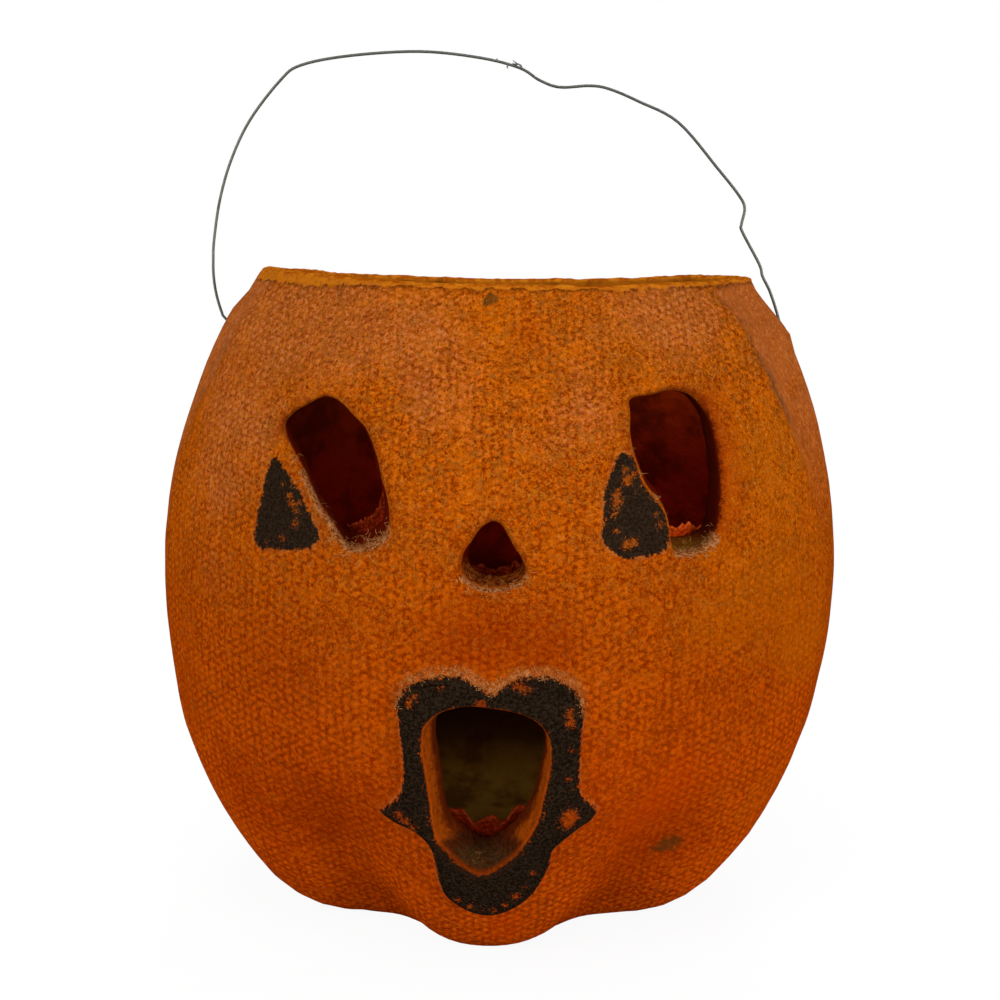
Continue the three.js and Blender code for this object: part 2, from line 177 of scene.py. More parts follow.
def profile(place):
    """Radius and height of the outside: floor from 0 to 1, foot round to 2, wall from 2 to 3."""
    wall_foot = wall_radius(FOOT_ROUND["height"])
    edge = wall_foot - FOOT_ROUND["width"]
    floor_radius = edge * np.clip(place, 0, 1)
    rise = FOOT_MIDDLE["rise"] * (1 - smooth(floor_radius, FOOT_MIDDLE["radius"], FOOT_RING[0]))
    t = np.clip(place - 1, 0, 1)
    middle = wall_foot - FOOT_ROUND["inset"]
    round_radius = edge * (1 - t) ** 2 + 2 * middle * t * (1 - t) + wall_foot * t**2
    round_height = FOOT_ROUND["height"] * t**2
    height = FOOT_ROUND["height"] + (RIM_HEIGHT - FOOT_ROUND["height"]) * np.clip(place - 2, 0, None)
    radius = np.where(place < 1, floor_radius, np.where(place < 2, round_radius, wall_radius(height)))
    return radius, np.where(place < 1, rise, np.where(place < 2, round_height, height))


def inner_profile(place):
    """The same line a wall's thickness inside."""
    step = 0.004
    ahead = profile(place + step)
    behind = profile(np.maximum(place - step, 0))
    run = np.array(ahead) - np.array(behind)
    run = run / np.hypot(*run)
    radius, height = profile(place)
    return np.maximum(radius - run[1] * WALL, 0), height + run[0] * WALL


def groove_share(groove, azimuth):
    away = (np.degrees(azimuth) - groove["azimuth"] + 180) % 360 - 180
    return np.exp(-((away / groove["half"]) ** 2))


def groove_depth(azimuth, height):
    depth = np.zeros_like(azimuth)
    for groove in GROOVES:
        share = groove_share(groove, azimuth)
        if "up" in groove:
            share = share * (1 - smooth(height, *groove["up"]))
        if "down" in groove:
            share = share * smooth(height, *groove["down"][::-1])
        depth += groove["depth"] * share
    return depth


def shell_point(azimuth, radius, height):
    """Place on the lobed, warped and leaning shell, in millimetres."""
    outer = smooth(radius, FOOT_RING[1], FOOT_LIFT_FULL)
    grooved = radius - outer * groove_depth(azimuth, height)
    lift = sum(groove["lift"] * groove_share(groove, azimuth) for groove in GROOVES)
    lift = lift * outer * (1 - smooth(height, FOOT_ROUND["height"], LIFT_FADE_HEIGHT))
    ends = (1 - np.cos(2 * azimuth)) / 2
    warp = RIM_WARP["side"] * np.sin(azimuth) + RIM_WARP["front"] * np.cos(azimuth)
    warp = warp + RIM_WARP["ends"] * ends
    warp = warp + RIM_WARP["back"] * np.sin(azimuth) * smooth(-np.cos(azimuth), 0, 0.7)
    warp = warp * smooth(height, RIM_WARP["start"], RIM_HEIGHT)
    pinch = 1 - RIM_PINCH["share"] * smooth(height, RIM_PINCH["from"], RIM_PINCH["to"])
    x = pinch * grooved * np.sin(azimuth) + LEAN * (height - BELLY_HEIGHT)
    return np.stack([x, -grooved * np.cos(azimuth), height + lift + warp], axis=-1)


# %% The two creases beside the forehead
# The face ends in a slanted crease on each side, past which the pulp is smooth. Its azimuth at
# the rim and how far it drifts per mm downwards, its depth, the heights between which it fades,
# and how many degrees wide its dust and painted shade lie.
CREASES = {
    -1: {
        "azimuth": 63, "top": 150, "drift": 0.24, "drift_end": 125, "depth": 1.0,
        "fade": (112, 140), "dust_and_shade": 3.2,
    },
    1: {
        "azimuth": 53, "top": 148, "drift": 0.23, "drift_end": 88, "depth": 1.5,
        "fade": (88, 138), "dust_and_shade": 2.6,
    },
}
# Across a crease, in degrees: where the skin steps in, how far back it comes out again, and the
# low ridge before it, with its share of the depth.
CREASE_FORM = {"step": (-1.4, 1.2), "back_out": 10, "ridge": 0.35, "ridge_at": -3.5, "ridge_width": 2.5}


def past_crease(azimuth, height):
    """Degrees past the nearer crease, below zero on the face, and that crease's strength."""
    beyond, strength = np.zeros_like(azimuth), np.zeros_like(azimuth)
    for side, crease in CREASES.items():
        mine = np.sign(azimuth) == side
        drop = np.clip(crease["top"] - height, 0, crease["top"] - crease["drift_end"])
        line = crease["azimuth"] + crease["drift"] * drop
        beyond = np.where(mine, np.abs(np.degrees(azimuth)) - line, beyond)
        strength = np.where(mine, crease["depth"] * smooth(height, *crease["fade"]), strength)
    return np.where(azimuth == 0, -60.0, beyond), strength


print("creases:", len(CREASES))


# %% [markdown]
# One sheet for the whole shell
#
# A sheet of squares stands for the whole skin: across it runs the angle, up it runs the profile.
# It starts coarse. Only the face is looked at closely, so only the face, and most of all the
# edges of its openings and paint, is cut finer.

# %% Rows of the sheet
AROUND = 120
ROWS = {
    "floor": 5, "round": 6, "wall": 33, "rim": 7,
    "inner wall": 26, "inner round": 4, "inner floor": 4,
}
ROW_ENDS = np.cumsum([0, *ROWS.values()])
OUTSIDE_ROWS = ROW_ENDS[3]
INSIDE_START = ROW_ENDS[4]
ALL_ROWS = ROW_ENDS[-1]


def rim_place():
    """Where on the wall's line the rim starts to turn, outside and inside."""
    outer = 3 - RIM_ROUND / (RIM_HEIGHT - FOOT_ROUND["height"])
    tries = np.linspace(2.5, 3.1, 2000)
    heights = inner_profile(tries)[1]
    inner = float(np.interp(RIM_HEIGHT - RIM_ROUND, heights, tries))
    return outer, inner


RIM_OUTER, RIM_INNER = rim_place()


def sheet_profile(row):
    """Radius and height for any row, whole or not, from the foot's middle to the inner floor's."""
    ends = ROW_ENDS
    outer = np.interp(row, ends[:4], [0, 1, 2, RIM_OUTER])
    inner = np.interp(row, ends[4:], [RIM_INNER, 2, 1, 0])
    radius_out, height_out = profile(outer)
    radius_in, height_in = inner_profile(inner)
    top_out = profile(np.array(RIM_OUTER))
    top_in = inner_profile(np.array(RIM_INNER))
    turn = np.pi * np.clip((row - ends[3]) / ROWS["rim"], 0, 1)
    middle, half = (top_out[0] + top_in[0]) / 2, (top_out[0] - top_in[0]) / 2
    radius_rim = middle + half * np.cos(turn)
    height_rim = RIM_HEIGHT - RIM_ROUND + RIM_ROUND * np.sin(turn) ** RIM_FLATNESS
    radius = np.where(row <= ends[3], radius_out, np.where(row >= ends[4], radius_in, radius_rim))
    height = np.where(row <= ends[3], height_out, np.where(row >= ends[4], height_in, height_rim))
    return radius, height


def wrap(azimuth, row):
    radius, height = sheet_profile(row)
    return shell_point(azimuth, radius, height)


print("rows:", int(ALL_ROWS), "outside up to row", int(OUTSIDE_ROWS))


# %% [markdown]
# The face's outlines
#
# The openings and the black paint were each cut or brushed by hand, so their outlines are given
# point by point: x and z in millimetres as seen from the front, joined by a smooth curve.

# %% Outlines seen from the front, in millimetres
LEFT_EYE = [
    (-43.2, 122.5), (-41.2, 124.9), (-38.1, 126.7), (-34.3, 128.5), (-30.8, 127.6), (-27.7, 125.0),
    (-25.2, 122.8), (-23.4, 119.5), (-22.2, 116.3), (-21.3, 112.9), (-20.2, 109.6), (-19.6, 106.0),
    (-19.9, 102.6), (-23.2, 100.0), (-27.2, 99.1), (-29.6, 100.6), (-31.7, 103.5), (-34.4, 106.6),
    (-36.5, 110.2), (-38.5, 113.8), (-40.7, 116.9), (-42.6, 119.9),
]
RIGHT_EYE = [
    (28.8, 129.0), (33.3, 129.8), (37.2, 130.5), (41.2, 129.5), (43.6, 127.2), (45.3, 124.5),
    (46.4, 120.6), (47.2, 115.8), (47.6, 110.2), (47.2, 104.7), (46.1, 100.6), (43.3, 98.4),
    (38.6, 98.2), (37.5, 100.4), (37.2, 103.0), (36.4, 106.0), (34.9, 108.8), (32.2, 111.9),
    (30.6, 115.5), (29.5, 118.7), (28.8, 122.0), (28.8, 125.9),
]
NOSE = [
    (0.1, 105.0), (1.6, 105.5), (3.2, 104.7), (4.5, 102.6), (5.7, 100.4), (7.2, 98.3), (8.0, 96.0),
    (7.0, 93.9), (3.6, 92.7), (-0.3, 92.6), (-3.6, 94.2), (-4.8, 96.5), (-4.4, 99.2), (-3.0, 101.3),
    (-1.3, 103.8),
]
MOUTH = [
    (-12.0, 63.2), (-10.3, 65.5), (-7.7, 67.1), (-3.4, 68.2), (2.0, 67.8), (7.0, 66.8), (10.5, 65.0),
    (12.8, 61.9), (13.4, 57.6), (13.0, 53.3), (11.9, 47.5), (10.7, 42.0), (8.6, 37.6), (6.0, 33.6),
    (2.0, 29.9), (-1.2, 28.8), (-4.5, 30.6), (-7.4, 33.8), (-9.7, 37.0), (-10.5, 41.2), (-11.1, 47.5),
    (-11.7, 52.9), (-12.3, 57.1), (-12.4, 60.6),
]
LIPS = [
    (-17.3, 69.5), (-14.6, 72.9), (-11.5, 74.1), (-6.4, 74.8), (-3.4, 74.3), (-1.0, 72.7), (1.2, 71.3),
    (3.2, 72.3), (5.8, 74.2), (9.6, 74.8), (13.4, 74.7), (16.9, 72.9), (19.3, 70.0), (19.9, 67.0),
    (19.6, 61.5), (19.4, 55.2), (19.5, 49.4), (21.4, 46.4), (23.1, 44.5), (22.2, 42.1), (19.1, 39.7),
    (16.0, 36.9), (13.9, 34.3), (13.4, 30.6), (11.7, 26.1), (9.6, 22.1), (6.4, 18.8), (1.9, 16.8),
    (-2.2, 17.2), (-6.3, 19.7), (-8.8, 22.7), (-10.0, 27.4), (-10.5, 31.9), (-11.7, 35.7),
    (-14.8, 38.9), (-19.0, 40.6), (-21.9, 43.2), (-19.5, 45.2), (-17.2, 48.4), (-16.5, 52.4),
    (-16.6, 56.8), (-17.0, 61.9), (-17.5, 66.0),
]
LEFT_PUPIL = [
    (-44.9, 115.5), (-43.4, 115.0), (-41.4, 112.6), (-38.7, 109.6), (-36.3, 105.0),
    (-34.3, 101.8), (-34.7, 99.4), (-38.5, 97.7), (-44.0, 97.0), (-47.9, 96.9), (-49.4, 98.5),
    (-49.2, 101.4), (-48.1, 106.5), (-47.2, 111.0), (-46.2, 114.0),
]
RIGHT_PUPIL = [
    (27.4, 118.9), (29.5, 117.3), (30.9, 113.7), (32.9, 110.3), (35.7, 107.5), (36.8, 104.5),
    (37.1, 101.6), (35.8, 98.8), (31.1, 98.0), (27.4, 98.2), (24.4, 100.2), (22.9, 102.7),
    (23.5, 106.4), (23.6, 111.7), (25.0, 115.3), (26.0, 118.0),
]


# %% Curves, distances and insides
def closed_curve(points, steps=10):
    """A smooth closed line through the points, and for each of its points the way outwards."""
    points = np.array(points, float)
    before, after, next_one = np.roll(points, 1, 0), np.roll(points, -1, 0), np.roll(points, -2, 0)
    line = []
    for step in range(steps):
        t = step / steps
        line.append(0.5 * (
            2 * points + (after - before) * t
            + (2 * before - 5 * points + 4 * after - next_one) * t**2
            + (3 * points - before - 3 * after + next_one) * t**3
        ))
    line = np.stack(line, axis=1).reshape(-1, 2)
    along = np.roll(line, -1, 0) - np.roll(line, 1, 0)
    along /= np.linalg.norm(along, axis=1)[:, None]
    return line, np.stack([-along[:, 1], along[:, 0]], axis=1)


def distance_inside(places, line):
    """Distance to a closed line, positive inside it, and where on the line the nearest point is."""
    ends = np.roll(line, -1, 0)
    run = ends - line
    best = np.full(len(places), 1e9)
    nearest = np.zeros(len(places))
    inside = np.zeros(len(places), bool)
    for index, (start, end) in enumerate(zip(line, ends)):
        away = places - start
        t = np.clip(away @ run[index] / max(run[index] @ run[index], 1e-12), 0, 1)
        gap = np.hypot(*(away - t[:, None] * run[index]).T)
        closer = gap < best
        best = np.where(closer, gap, best)
        nearest = np.where(closer, index + t, nearest)
        crosses = (start[1] > places[:, 1]) != (end[1] > places[:, 1])
        slope = (end[0] - start[0]) / (end[1] - start[1]) if end[1] != start[1] else 0
        inside ^= crosses & (places[:, 0] < start[0] + slope * (places[:, 1] - start[1]))
    return np.where(inside, best, -best), nearest


def along_line(line, place):
    """Points of a closed line at fractional places, counted in its own points."""
    low = np.floor(place).astype(int) % len(line)
    share = (place - np.floor(place))[:, None]
    return line[low] * (1 - share) + line[(low + 1) % len(line)] * share


# %% [markdown]
# How the pulp turns in at each opening
#
# The pulp isn't simply cut: it was pressed inwards round each opening, so the edge is soft, and a
# short funnel runs back to a torn end. The soft edge is narrow, except on the right side of the
# right eye, where it is a broad roll.

# %% The four openings
FUNNEL_DEPTH = 8
FUNNEL_WALL = 2.4
EDGE_DEPTH = 2.4
LIP_RELIEF = 1.4


class Opening:
    def __init__(self, name, outline, middle, flare, roll, narrow, shift):
        self.name = name
        self.line, self.out = closed_curve(outline)
        self.middle = np.array(middle)
        self.flare = flare
        self.roll = roll
        self.narrow = np.array(narrow)
        self.shift = np.array(shift)

    def widen(self, place):
        """How wide the soft edge is there: the roll is broadest on the +X side."""
        toward = along_line(self.out, place)[:, 0]
        low = along_line(self.line, place)[:, 1] - self.middle[1]
        return self.flare + self.roll * smooth(toward, -0.3, 0.9) * smooth(low, -19, -9)

    def ring(self, place, margin, funnel):
        """Points at a margin outside the outline, drawn in by a share of the funnel."""
        points = along_line(self.line, place) + along_line(self.out, place) * margin[:, None]
        end = self.middle + (points - self.middle) * self.narrow + self.shift
        return points + (end - points) * funnel


OPENINGS = [
    Opening("left eye", LEFT_EYE, (-31, 113.5), 1.1, 0.4, (0.92, 0.92), (-0.9, 0.6)),
    Opening("right eye", RIGHT_EYE, (38.5, 114.5), 0.9, 4.2, (0.9, 0.92), (-0.7, 0.9)),
    Opening("nose", NOSE, (1.6, 98.4), 1.0, 0, (0.84, 0.86), (0, 0.4)),
    Opening("mouth", MOUTH, (0.5, 49.5), 0.9, 0, (0.87, 0.84), (0.5, 2.6)),
]
LIP_LINE = closed_curve(LIPS)[0]
PUPIL_LINES = [closed_curve(LEFT_PUPIL)[0], closed_curve(RIGHT_PUPIL)[0]]
for opening in OPENINGS:
    size = opening.line.max(0) - opening.line.min(0)
    print(f"{opening.name}: {size[0]:.1f} x {size[1]:.1f} mm")


# %% [markdown]
# Cutting the sheet finer
#
# Subdivide works on the selected faces only, and fills in the faces beside them with triangles, so
# nothing comes apart. The whole face is cut once, and each further cut keeps closer to the edges.

# %% A flat sheet, and which of it is the face
FACE_AZIMUTH = 78
FACE_BOTTOM = 13


def flat_sheet():
    start_clean()
    bpy.ops.mesh.primitive_grid_add(x_subdivisions=AROUND, y_subdivisions=int(ALL_ROWS), size=1)
    sheet = bpy.context.object
    sheet.name = "moulded_pulp_shell"
    sheet.data.name = sheet.name
    flat = corners(sheet)
    flat[:, 0] *= 360
    flat[:, 1] = (flat[:, 1] + 0.5) * ALL_ROWS
    move_corners(sheet, flat)
    return sheet


def subdivide_where(sheet, chosen):
    pick(sheet, "polygons", chosen)
    bpy.ops.mesh.subdivide(number_cuts=1)
    bpy.ops.object.mode_set(mode="OBJECT")


def front_places(flat):
    """Place in mm of points of the flat sheet, and which of them lie on the front of the outside."""
    places = wrap(np.radians(flat[:, 0]), flat[:, 1])
    in_sight = (np.abs(flat[:, 0]) < FACE_AZIMUTH) & (places[:, 2] > FACE_BOTTOM)
    return places, (flat[:, 1] < OUTSIDE_ROWS) & in_sight


# %% Lines where the soft edges and the funnels' backs meet the skin
BACK_MARGIN = FUNNEL_WALL + 0.6


def nearness(places, lines):
    """Distance to the nearest of some closed lines, seen from the front."""
    return np.min([np.abs(distance_inside(places[:, [0, 2]], line)[0]) for line in lines], axis=0)


def edge_line(opening):
    """Where the soft edge meets the skin."""
    places = np.arange(len(opening.line), dtype=float)
    return opening.ring(places, opening.widen(places), 0)


def back_line(opening):
    """Where the funnel's outside meets the inner wall."""
    places = np.arange(len(opening.line), dtype=float)
    share = (WALL - EDGE_DEPTH) / (FUNNEL_DEPTH - EDGE_DEPTH)
    return opening.ring(places, np.full(len(places), BACK_MARGIN), share)


EDGE_LINES = [edge_line(opening) for opening in OPENINGS]
BACK_LINES = [back_line(opening) for opening in OPENINGS]
print("points on the edges:", [len(line) for line in EDGE_LINES])


# %% Cutting finer, closer and closer to the edges
# Distances in mm to an edge on the face, in degrees to a crease, and in mm to a funnel's back.
CLOSE_CUTS = (9, 3.5, 1.3)
CREASE_CUTS = (5, 3)
BACK_CUTS = (6, 3)
shell = flat_sheet()
middles = face_middles(shell)
places, front = front_places(middles)
near_rim = (middles[:, 1] > OUTSIDE_ROWS - 2) & (middles[:, 1] < INSIDE_START + 1)
subdivide_where(shell, front | near_rim)
for reach in CLOSE_CUTS:
    middles = face_middles(shell)
    places, front = front_places(middles)
    chosen = front.copy()
    chosen[front] = nearness(places[front], [*EDGE_LINES, LIP_LINE, *PUPIL_LINES]) < reach
    subdivide_where(shell, chosen)
for reach in CREASE_CUTS:
    middles = face_middles(shell)
    places, _ = front_places(middles)
    beyond, strength = past_crease(np.radians(middles[:, 0]), places[:, 2])
    on_crease = (np.abs(beyond) < reach) & (strength > 0.05)
    subdivide_where(shell, on_crease & (middles[:, 1] < OUTSIDE_ROWS - 1))
for reach in BACK_CUTS:
    middles = face_middles(shell)
    places = wrap(np.radians(middles[:, 0]), middles[:, 1])
    inner = (middles[:, 1] > INSIDE_START) & (np.abs(middles[:, 0]) < 60)
    chosen = inner.copy()
    chosen[inner] = nearness(places[inner], BACK_LINES) < reach
    subdivide_where(shell, chosen)
print("sheet:", len(shell.data.polygons), "faces")


# %% [markdown]
# Cutting the openings out
#
# The faces inside each outline go. That leaves an edge like a staircase, so its corners are slid
# on to the drawn line, which is done on the flat sheet, where nothing can fold over. The corners
# beside them are then eased by Smooth Vertices.

# %% A mesh's edges
def edge_uses(piece):
    uses = np.empty(len(piece.data.loops), int)
    piece.data.loops.foreach_get("edge_index", uses)
    return np.bincount(uses, minlength=len(piece.data.edges))


def edge_ends(piece):
    ends = np.empty(len(piece.data.edges) * 2, int)
    piece.data.edges.foreach_get("vertices", ends)
    return ends.reshape(-1, 2)


# %% Finding places on the sheet, and keeping an edge in order
def sheet_place(targets, flat):
    """Azimuth and row whose place has the wanted x and z, found by Newton's steps from a start."""
    azimuth, row = np.radians(flat[:, 0]), flat[:, 1].copy()
    step = 1e-4
    for _ in range(6):
        here = wrap(azimuth, row)[:, [0, 2]]
        by_azimuth = (wrap(azimuth + step, row)[:, [0, 2]] - here) / step
        by_row = (wrap(azimuth, row + step)[:, [0, 2]] - here) / step
        miss = targets - here
        area = by_azimuth[:, 0] * by_row[:, 1] - by_azimuth[:, 1] * by_row[:, 0]
        azimuth = azimuth + (miss[:, 0] * by_row[:, 1] - miss[:, 1] * by_row[:, 0]) / area
        row = row + (by_azimuth[:, 0] * miss[:, 1] - by_azimuth[:, 1] * miss[:, 0]) / area
    return np.stack([np.degrees(azimuth), row, np.zeros(len(row))], axis=1)


def in_turn(sheet, edge_corners, place, whole):
    """Places along a line that never run back as one walks the edge, so that no face folds over."""
    index_of = {corner: index for index, corner in enumerate(edge_corners.tolist())}
    beside = {corner: [] for corner in index_of}
    for start, end in edge_ends(sheet)[edge_uses(sheet) == 1].tolist():
        if start in beside and end in beside:
            beside[start].append(end)
            beside[end].append(start)
    unseen = set(index_of)
    while unseen:
        walk = [unseen.pop()]
        while further := [corner for corner in beside[walk[-1]] if corner in unseen]:
            walk.append(further[0])
            unseen.discard(further[0])
        steps = [index_of[corner] for corner in walk]
        along = np.unwrap(place[steps], period=whole)
        sign = 1 if along[-1] > along[0] else -1
        place[steps] = (sign * np.maximum.accumulate(sign * along)) % whole
    return place


# %% Cutting the openings
def in_layer(flat, outside):
    return flat[:, 1] < OUTSIDE_ROWS if outside else flat[:, 1] > INSIDE_START


def cut_along(sheet, lines, outside):
    """Deletes the faces inside the lines and slides the new edge on to them."""
    middles = face_middles(sheet)
    places = wrap(np.radians(middles[:, 0]), middles[:, 1])
    layer = in_layer(middles, outside) & (np.abs(middles[:, 0]) < FACE_AZIMUTH)
    gone = np.zeros(len(middles), bool)
    for line in lines:
        gone[layer] |= distance_inside(places[layer][:, [0, 2]], line)[0] > 0
    pick(sheet, "polygons", gone)
    bpy.ops.mesh.delete(type="FACE")
    bpy.ops.object.mode_set(mode="OBJECT")
    flat = corners(sheet)
    layer = in_layer(flat, outside)
    open_edge = np.zeros(len(flat), bool)
    open_edge[edge_ends(sheet)[edge_uses(sheet) == 1].ravel()] = True
    border = (np.abs(flat[:, 0]) > 179.9) | (flat[:, 1] < 0.01) | (flat[:, 1] > ALL_ROWS - 0.01)
    rim = np.flatnonzero(open_edge & layer & ~border)
    seen = wrap(np.radians(flat[rim, 0]), flat[rim, 1])[:, [0, 2]]
    gaps = [distance_inside(seen, line) for line in lines]
    owner = np.argmin([np.abs(gap) for gap, _ in gaps], axis=0)
    place = np.choose(owner, [nearest for _, nearest in gaps])
    for who, line in enumerate(lines):
        place[owner == who] = in_turn(sheet, rim[owner == who], place[owner == who], len(line))
    targets = np.zeros((len(rim), 2))
    for who, line in enumerate(lines):
        targets[owner == who] = along_line(line, place[owner == who])
    flat[rim] = sheet_place(targets, flat[rim])
    move_corners(sheet, flat)
    beside = np.zeros(len(flat), bool)
    beside[edge_ends(sheet)[open_edge[edge_ends(sheet)].any(axis=1)].ravel()] = True
    pick(sheet, "vertices", beside & ~open_edge & layer & ~border)
    bpy.ops.mesh.vertices_smooth(factor=0.5, repeat=2)
    bpy.ops.object.mode_set(mode="OBJECT")
    return rim, owner, place


def mark_edge(sheet, found, owners, places):
    """Keeps with each corner of an edge which opening it belongs to, and where along its line."""
    for name, values in (("opening", owners), ("edge_place", places)):
        whole = np.full(len(sheet.data.vertices), -1.0)
        if name in sheet.data.attributes:
            whole = read_value(sheet, name)
        whole[found] = values
        write_value(sheet, name, whole)


SHEET_MERGE = 0.04
mark_edge(shell, *cut_along(shell, EDGE_LINES, outside=True))
mark_edge(shell, *cut_along(shell, BACK_LINES, outside=False))
pick(shell, "vertices", read_value(shell, "opening") >= 0)
bpy.ops.mesh.remove_doubles(threshold=SHEET_MERGE)
bpy.ops.object.mode_set(mode="OBJECT")
print("edge corners:", int((read_value(shell, "opening") >= 0).sum()))


# %% [markdown]
# From the flat sheet to the pumpkin
#
# The sheet is now rolled up. Each corner goes to its place on the formula, and is pushed along
# the skin's normal by what the hand adds: the raised lips, the low lumps of pulp that dried
# unevenly, and the torn rim. What a material has to know is worked out here too, where the flat
# place is still known, and is kept on the corners as attributes.

# %% What the hand adds to the formula, in millimetres
LIP_BEVEL = (-1.0, 1.2)
# Size and height of the lumps of pulp.
LUMPS = ((30, 0.55), (11, 0.2), (4, 0.06))
# Azimuth and height of the middle, half widths in degrees and mm, and how far it stands out.
BULGES = [
    (-82, 38, 24, 20, 0.9), (68, 108, 14, 26, 0.5), (-60, 62, 30, 26, -0.2), (-80, 92, 16, 20, 0.45),
    (20, 6, 12, 8, -0.5),
]
RIM_BEAD = {"proud": 0.3, "reach": 1.6, "width": 1.0, "wider": 1.3, "rough": 0.35}
WIRE_HOLE = {"height": 140, "edge": (0.4, 1.5), "depth": 2.2}
BURR = {"below": 0.6, "before": 10, "size": 2.6, "proud": 0.9}
FOOT_PLAIN = (0, 7)
FAR = {"opening": 20.0, "hole": 99.0}


def lumps(places, size, seed):
    """Smooth noise between -1 and 1, with lumps of about this size."""
    shift = Vector((seed * 17.3, seed * 5.1, seed * 9.7))
    return np.array([noise.noise(Vector(place) / size + shift) for place in places.tolist()])


def sheet_normals(azimuth, row):
    step = 1e-3
    by_azimuth = wrap(azimuth + step, row) - wrap(azimuth - step, row)
    by_row = wrap(azimuth, row + step) - wrap(azimuth, row - step)
    out = np.cross(by_azimuth, by_row)
    length = np.linalg.norm(out, axis=1)[:, None]
    pole = np.stack([np.zeros(len(row)), np.zeros(len(row)), np.where(row < 1, -1.0, 1.0)], axis=1)
    return np.where(length > 1e-9, out / np.maximum(length, 1e-9), pole)


def gap_to(places, line, on_front):
    """Signed distance to a line seen from the front, for the points on the front alone."""
    gap = np.full(len(places), -FAR["opening"])
    gap[on_front] = distance_inside(places[on_front][:, [0, 2]], line)[0]
    return np.maximum(gap, -FAR["opening"])


print("sizes of lumps:", len(LUMPS), "bulges:", len(BULGES))


# %% How far the skin is pushed out
flat = corners(shell)
azimuth, row = np.radians(flat[:, 0]), flat[:, 1]
skin, on_front = front_places(flat)
normals = sheet_normals(azimuth, row)
outside = row <= OUTSIDE_ROWS + 0.01
near_top = smooth(skin[:, 2], RIM_HEIGHT - RIM_BEAD["reach"], RIM_HEIGHT)

lip_gap = gap_to(skin, LIP_LINE, on_front)
push = LIP_RELIEF * smooth(lip_gap, *LIP_BEVEL) * outside
for seed, (size, height) in enumerate(LUMPS):
    push += height * lumps(skin, size, seed)
bead_here = smooth(lumps(skin, size=9, seed=7), -0.3, 0.2)
push += RIM_BEAD["proud"] * near_top * bead_here * outside
push += RIM_BEAD["rough"] * near_top * lumps(skin, size=2.2, seed=8)
for turn, height, half_turn, half_height, amount in BULGES:
    away = ((np.degrees(azimuth) - turn) / half_turn) ** 2 + ((skin[:, 2] - height) / half_height) ** 2
    push += amount * np.exp(-away) * outside
beyond, strength = past_crease(azimuth, skin[:, 2])
back_out = np.exp(-((np.maximum(beyond, 0) / CREASE_FORM["back_out"]) ** 2))
push -= strength * smooth(beyond, *CREASE_FORM["step"]) * back_out * outside
ridge = np.exp(-(((beyond - CREASE_FORM["ridge_at"]) / CREASE_FORM["ridge_width"]) ** 2))
push += CREASE_FORM["ridge"] * strength * ridge * outside
push *= smooth(skin[:, 2], *FOOT_PLAIN)
print(f"skin pushed {push.min():.2f} to {push.max():.2f} mm")


# %% The wire's holes and the burr of pulp under the right one
wire_low, wire_high = (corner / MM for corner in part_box("wire_bail"))
print(f"the CAD's wire reaches from {wire_low[2]:.1f} to {wire_high[2]:.1f} mm up")
hole_gap = np.linalg.norm(skin[:, 1:] - (0, WIRE_HOLE["height"]), axis=1)
hole_gap[~outside] = FAR["hole"]
push -= WIRE_HOLE["depth"] * (1 - smooth(hole_gap, *WIRE_HOLE["edge"]))
burr = np.hypot(skin[:, 1] + BURR["before"], skin[:, 2] - WIRE_HOLE["height"] + BURR["below"])
push += BURR["proud"] * np.exp(-((burr / BURR["size"]) ** 2)) * outside * (azimuth > 0)


# %% What the materials read: wear, dirt and painted shade that follow the form
# Heights in mm, and degrees past a crease or round the pumpkin.
WEAR_AND_SHADE = {
    "lower": (12, 62), "panel": (-2.5, 2.5), "panel_end": (88, 120),
    "dust_and_shade_at": 0.8, "dust_and_shade_top": (150, 147),
}
# Share of the lower grooves, which are painted darker as shade.
lower = sum(groove_share(groove, azimuth) for groove in GROOVES if "up" in groove)
lower = lower * (1 - smooth(skin[:, 2], *WEAR_AND_SHADE["lower"]))
panel = smooth(beyond, *WEAR_AND_SHADE["panel"])
panel = panel * (1 - smooth(np.abs(np.degrees(azimuth)), *WEAR_AND_SHADE["panel_end"]))
dust_and_shade_width = np.where(azimuth > 0, CREASES[1]["dust_and_shade"], CREASES[-1]["dust_and_shade"])
# Dust along the upper creases, darkened further as the creases' painted shade.
crease_dust_and_shade = np.exp(-(((beyond - WEAR_AND_SHADE["dust_and_shade_at"]) / dust_and_shade_width) ** 2)) * np.minimum(strength, 1)
crease_dust_and_shade = crease_dust_and_shade * smooth(skin[:, 2], *WEAR_AND_SHADE["dust_and_shade_top"])
print(f"dust on {np.mean(crease_dust_and_shade > 0.05):.1%} of the corners")


# %% What the materials read: the rim, the paint, the openings and the screen
# The screen's pattern runs on a sheet that is part flat from the front and part rolled round.
SCREEN_SHEET = {"flat": 0.8, "rolled": 0.2, "tilt": 0.2}
rim_top = OUTSIDE_ROWS + ROWS["rim"] / 2
below_rim = wrap(azimuth, np.full(len(row), rim_top))[:, 2] - skin[:, 2]
bead = below_rim - RIM_BEAD["width"] - RIM_BEAD["wider"] * smooth(-azimuth, 0.3, 0.8)
bead = np.where(row <= rim_top, np.maximum(bead, -9), -9)
zone = smooth(row, OUTSIDE_ROWS, OUTSIDE_ROWS + 2) + smooth(row, INSIDE_START - 2, INSIDE_START + 1)
paint = np.max([gap_to(skin, line, on_front) for line in (LIP_LINE, *PUPIL_LINES)], axis=0)
edge_gap = np.full(len(skin), FAR["opening"])
edge_gap[on_front] = nearness(skin[on_front], EDGE_LINES)
weave_x = SCREEN_SHEET["flat"] * skin[:, 0] + SCREEN_SHEET["rolled"] * BELLY_RADIUS * azimuth
weave_z = skin[:, 2] + SCREEN_SHEET["tilt"] * skin[:, 1]
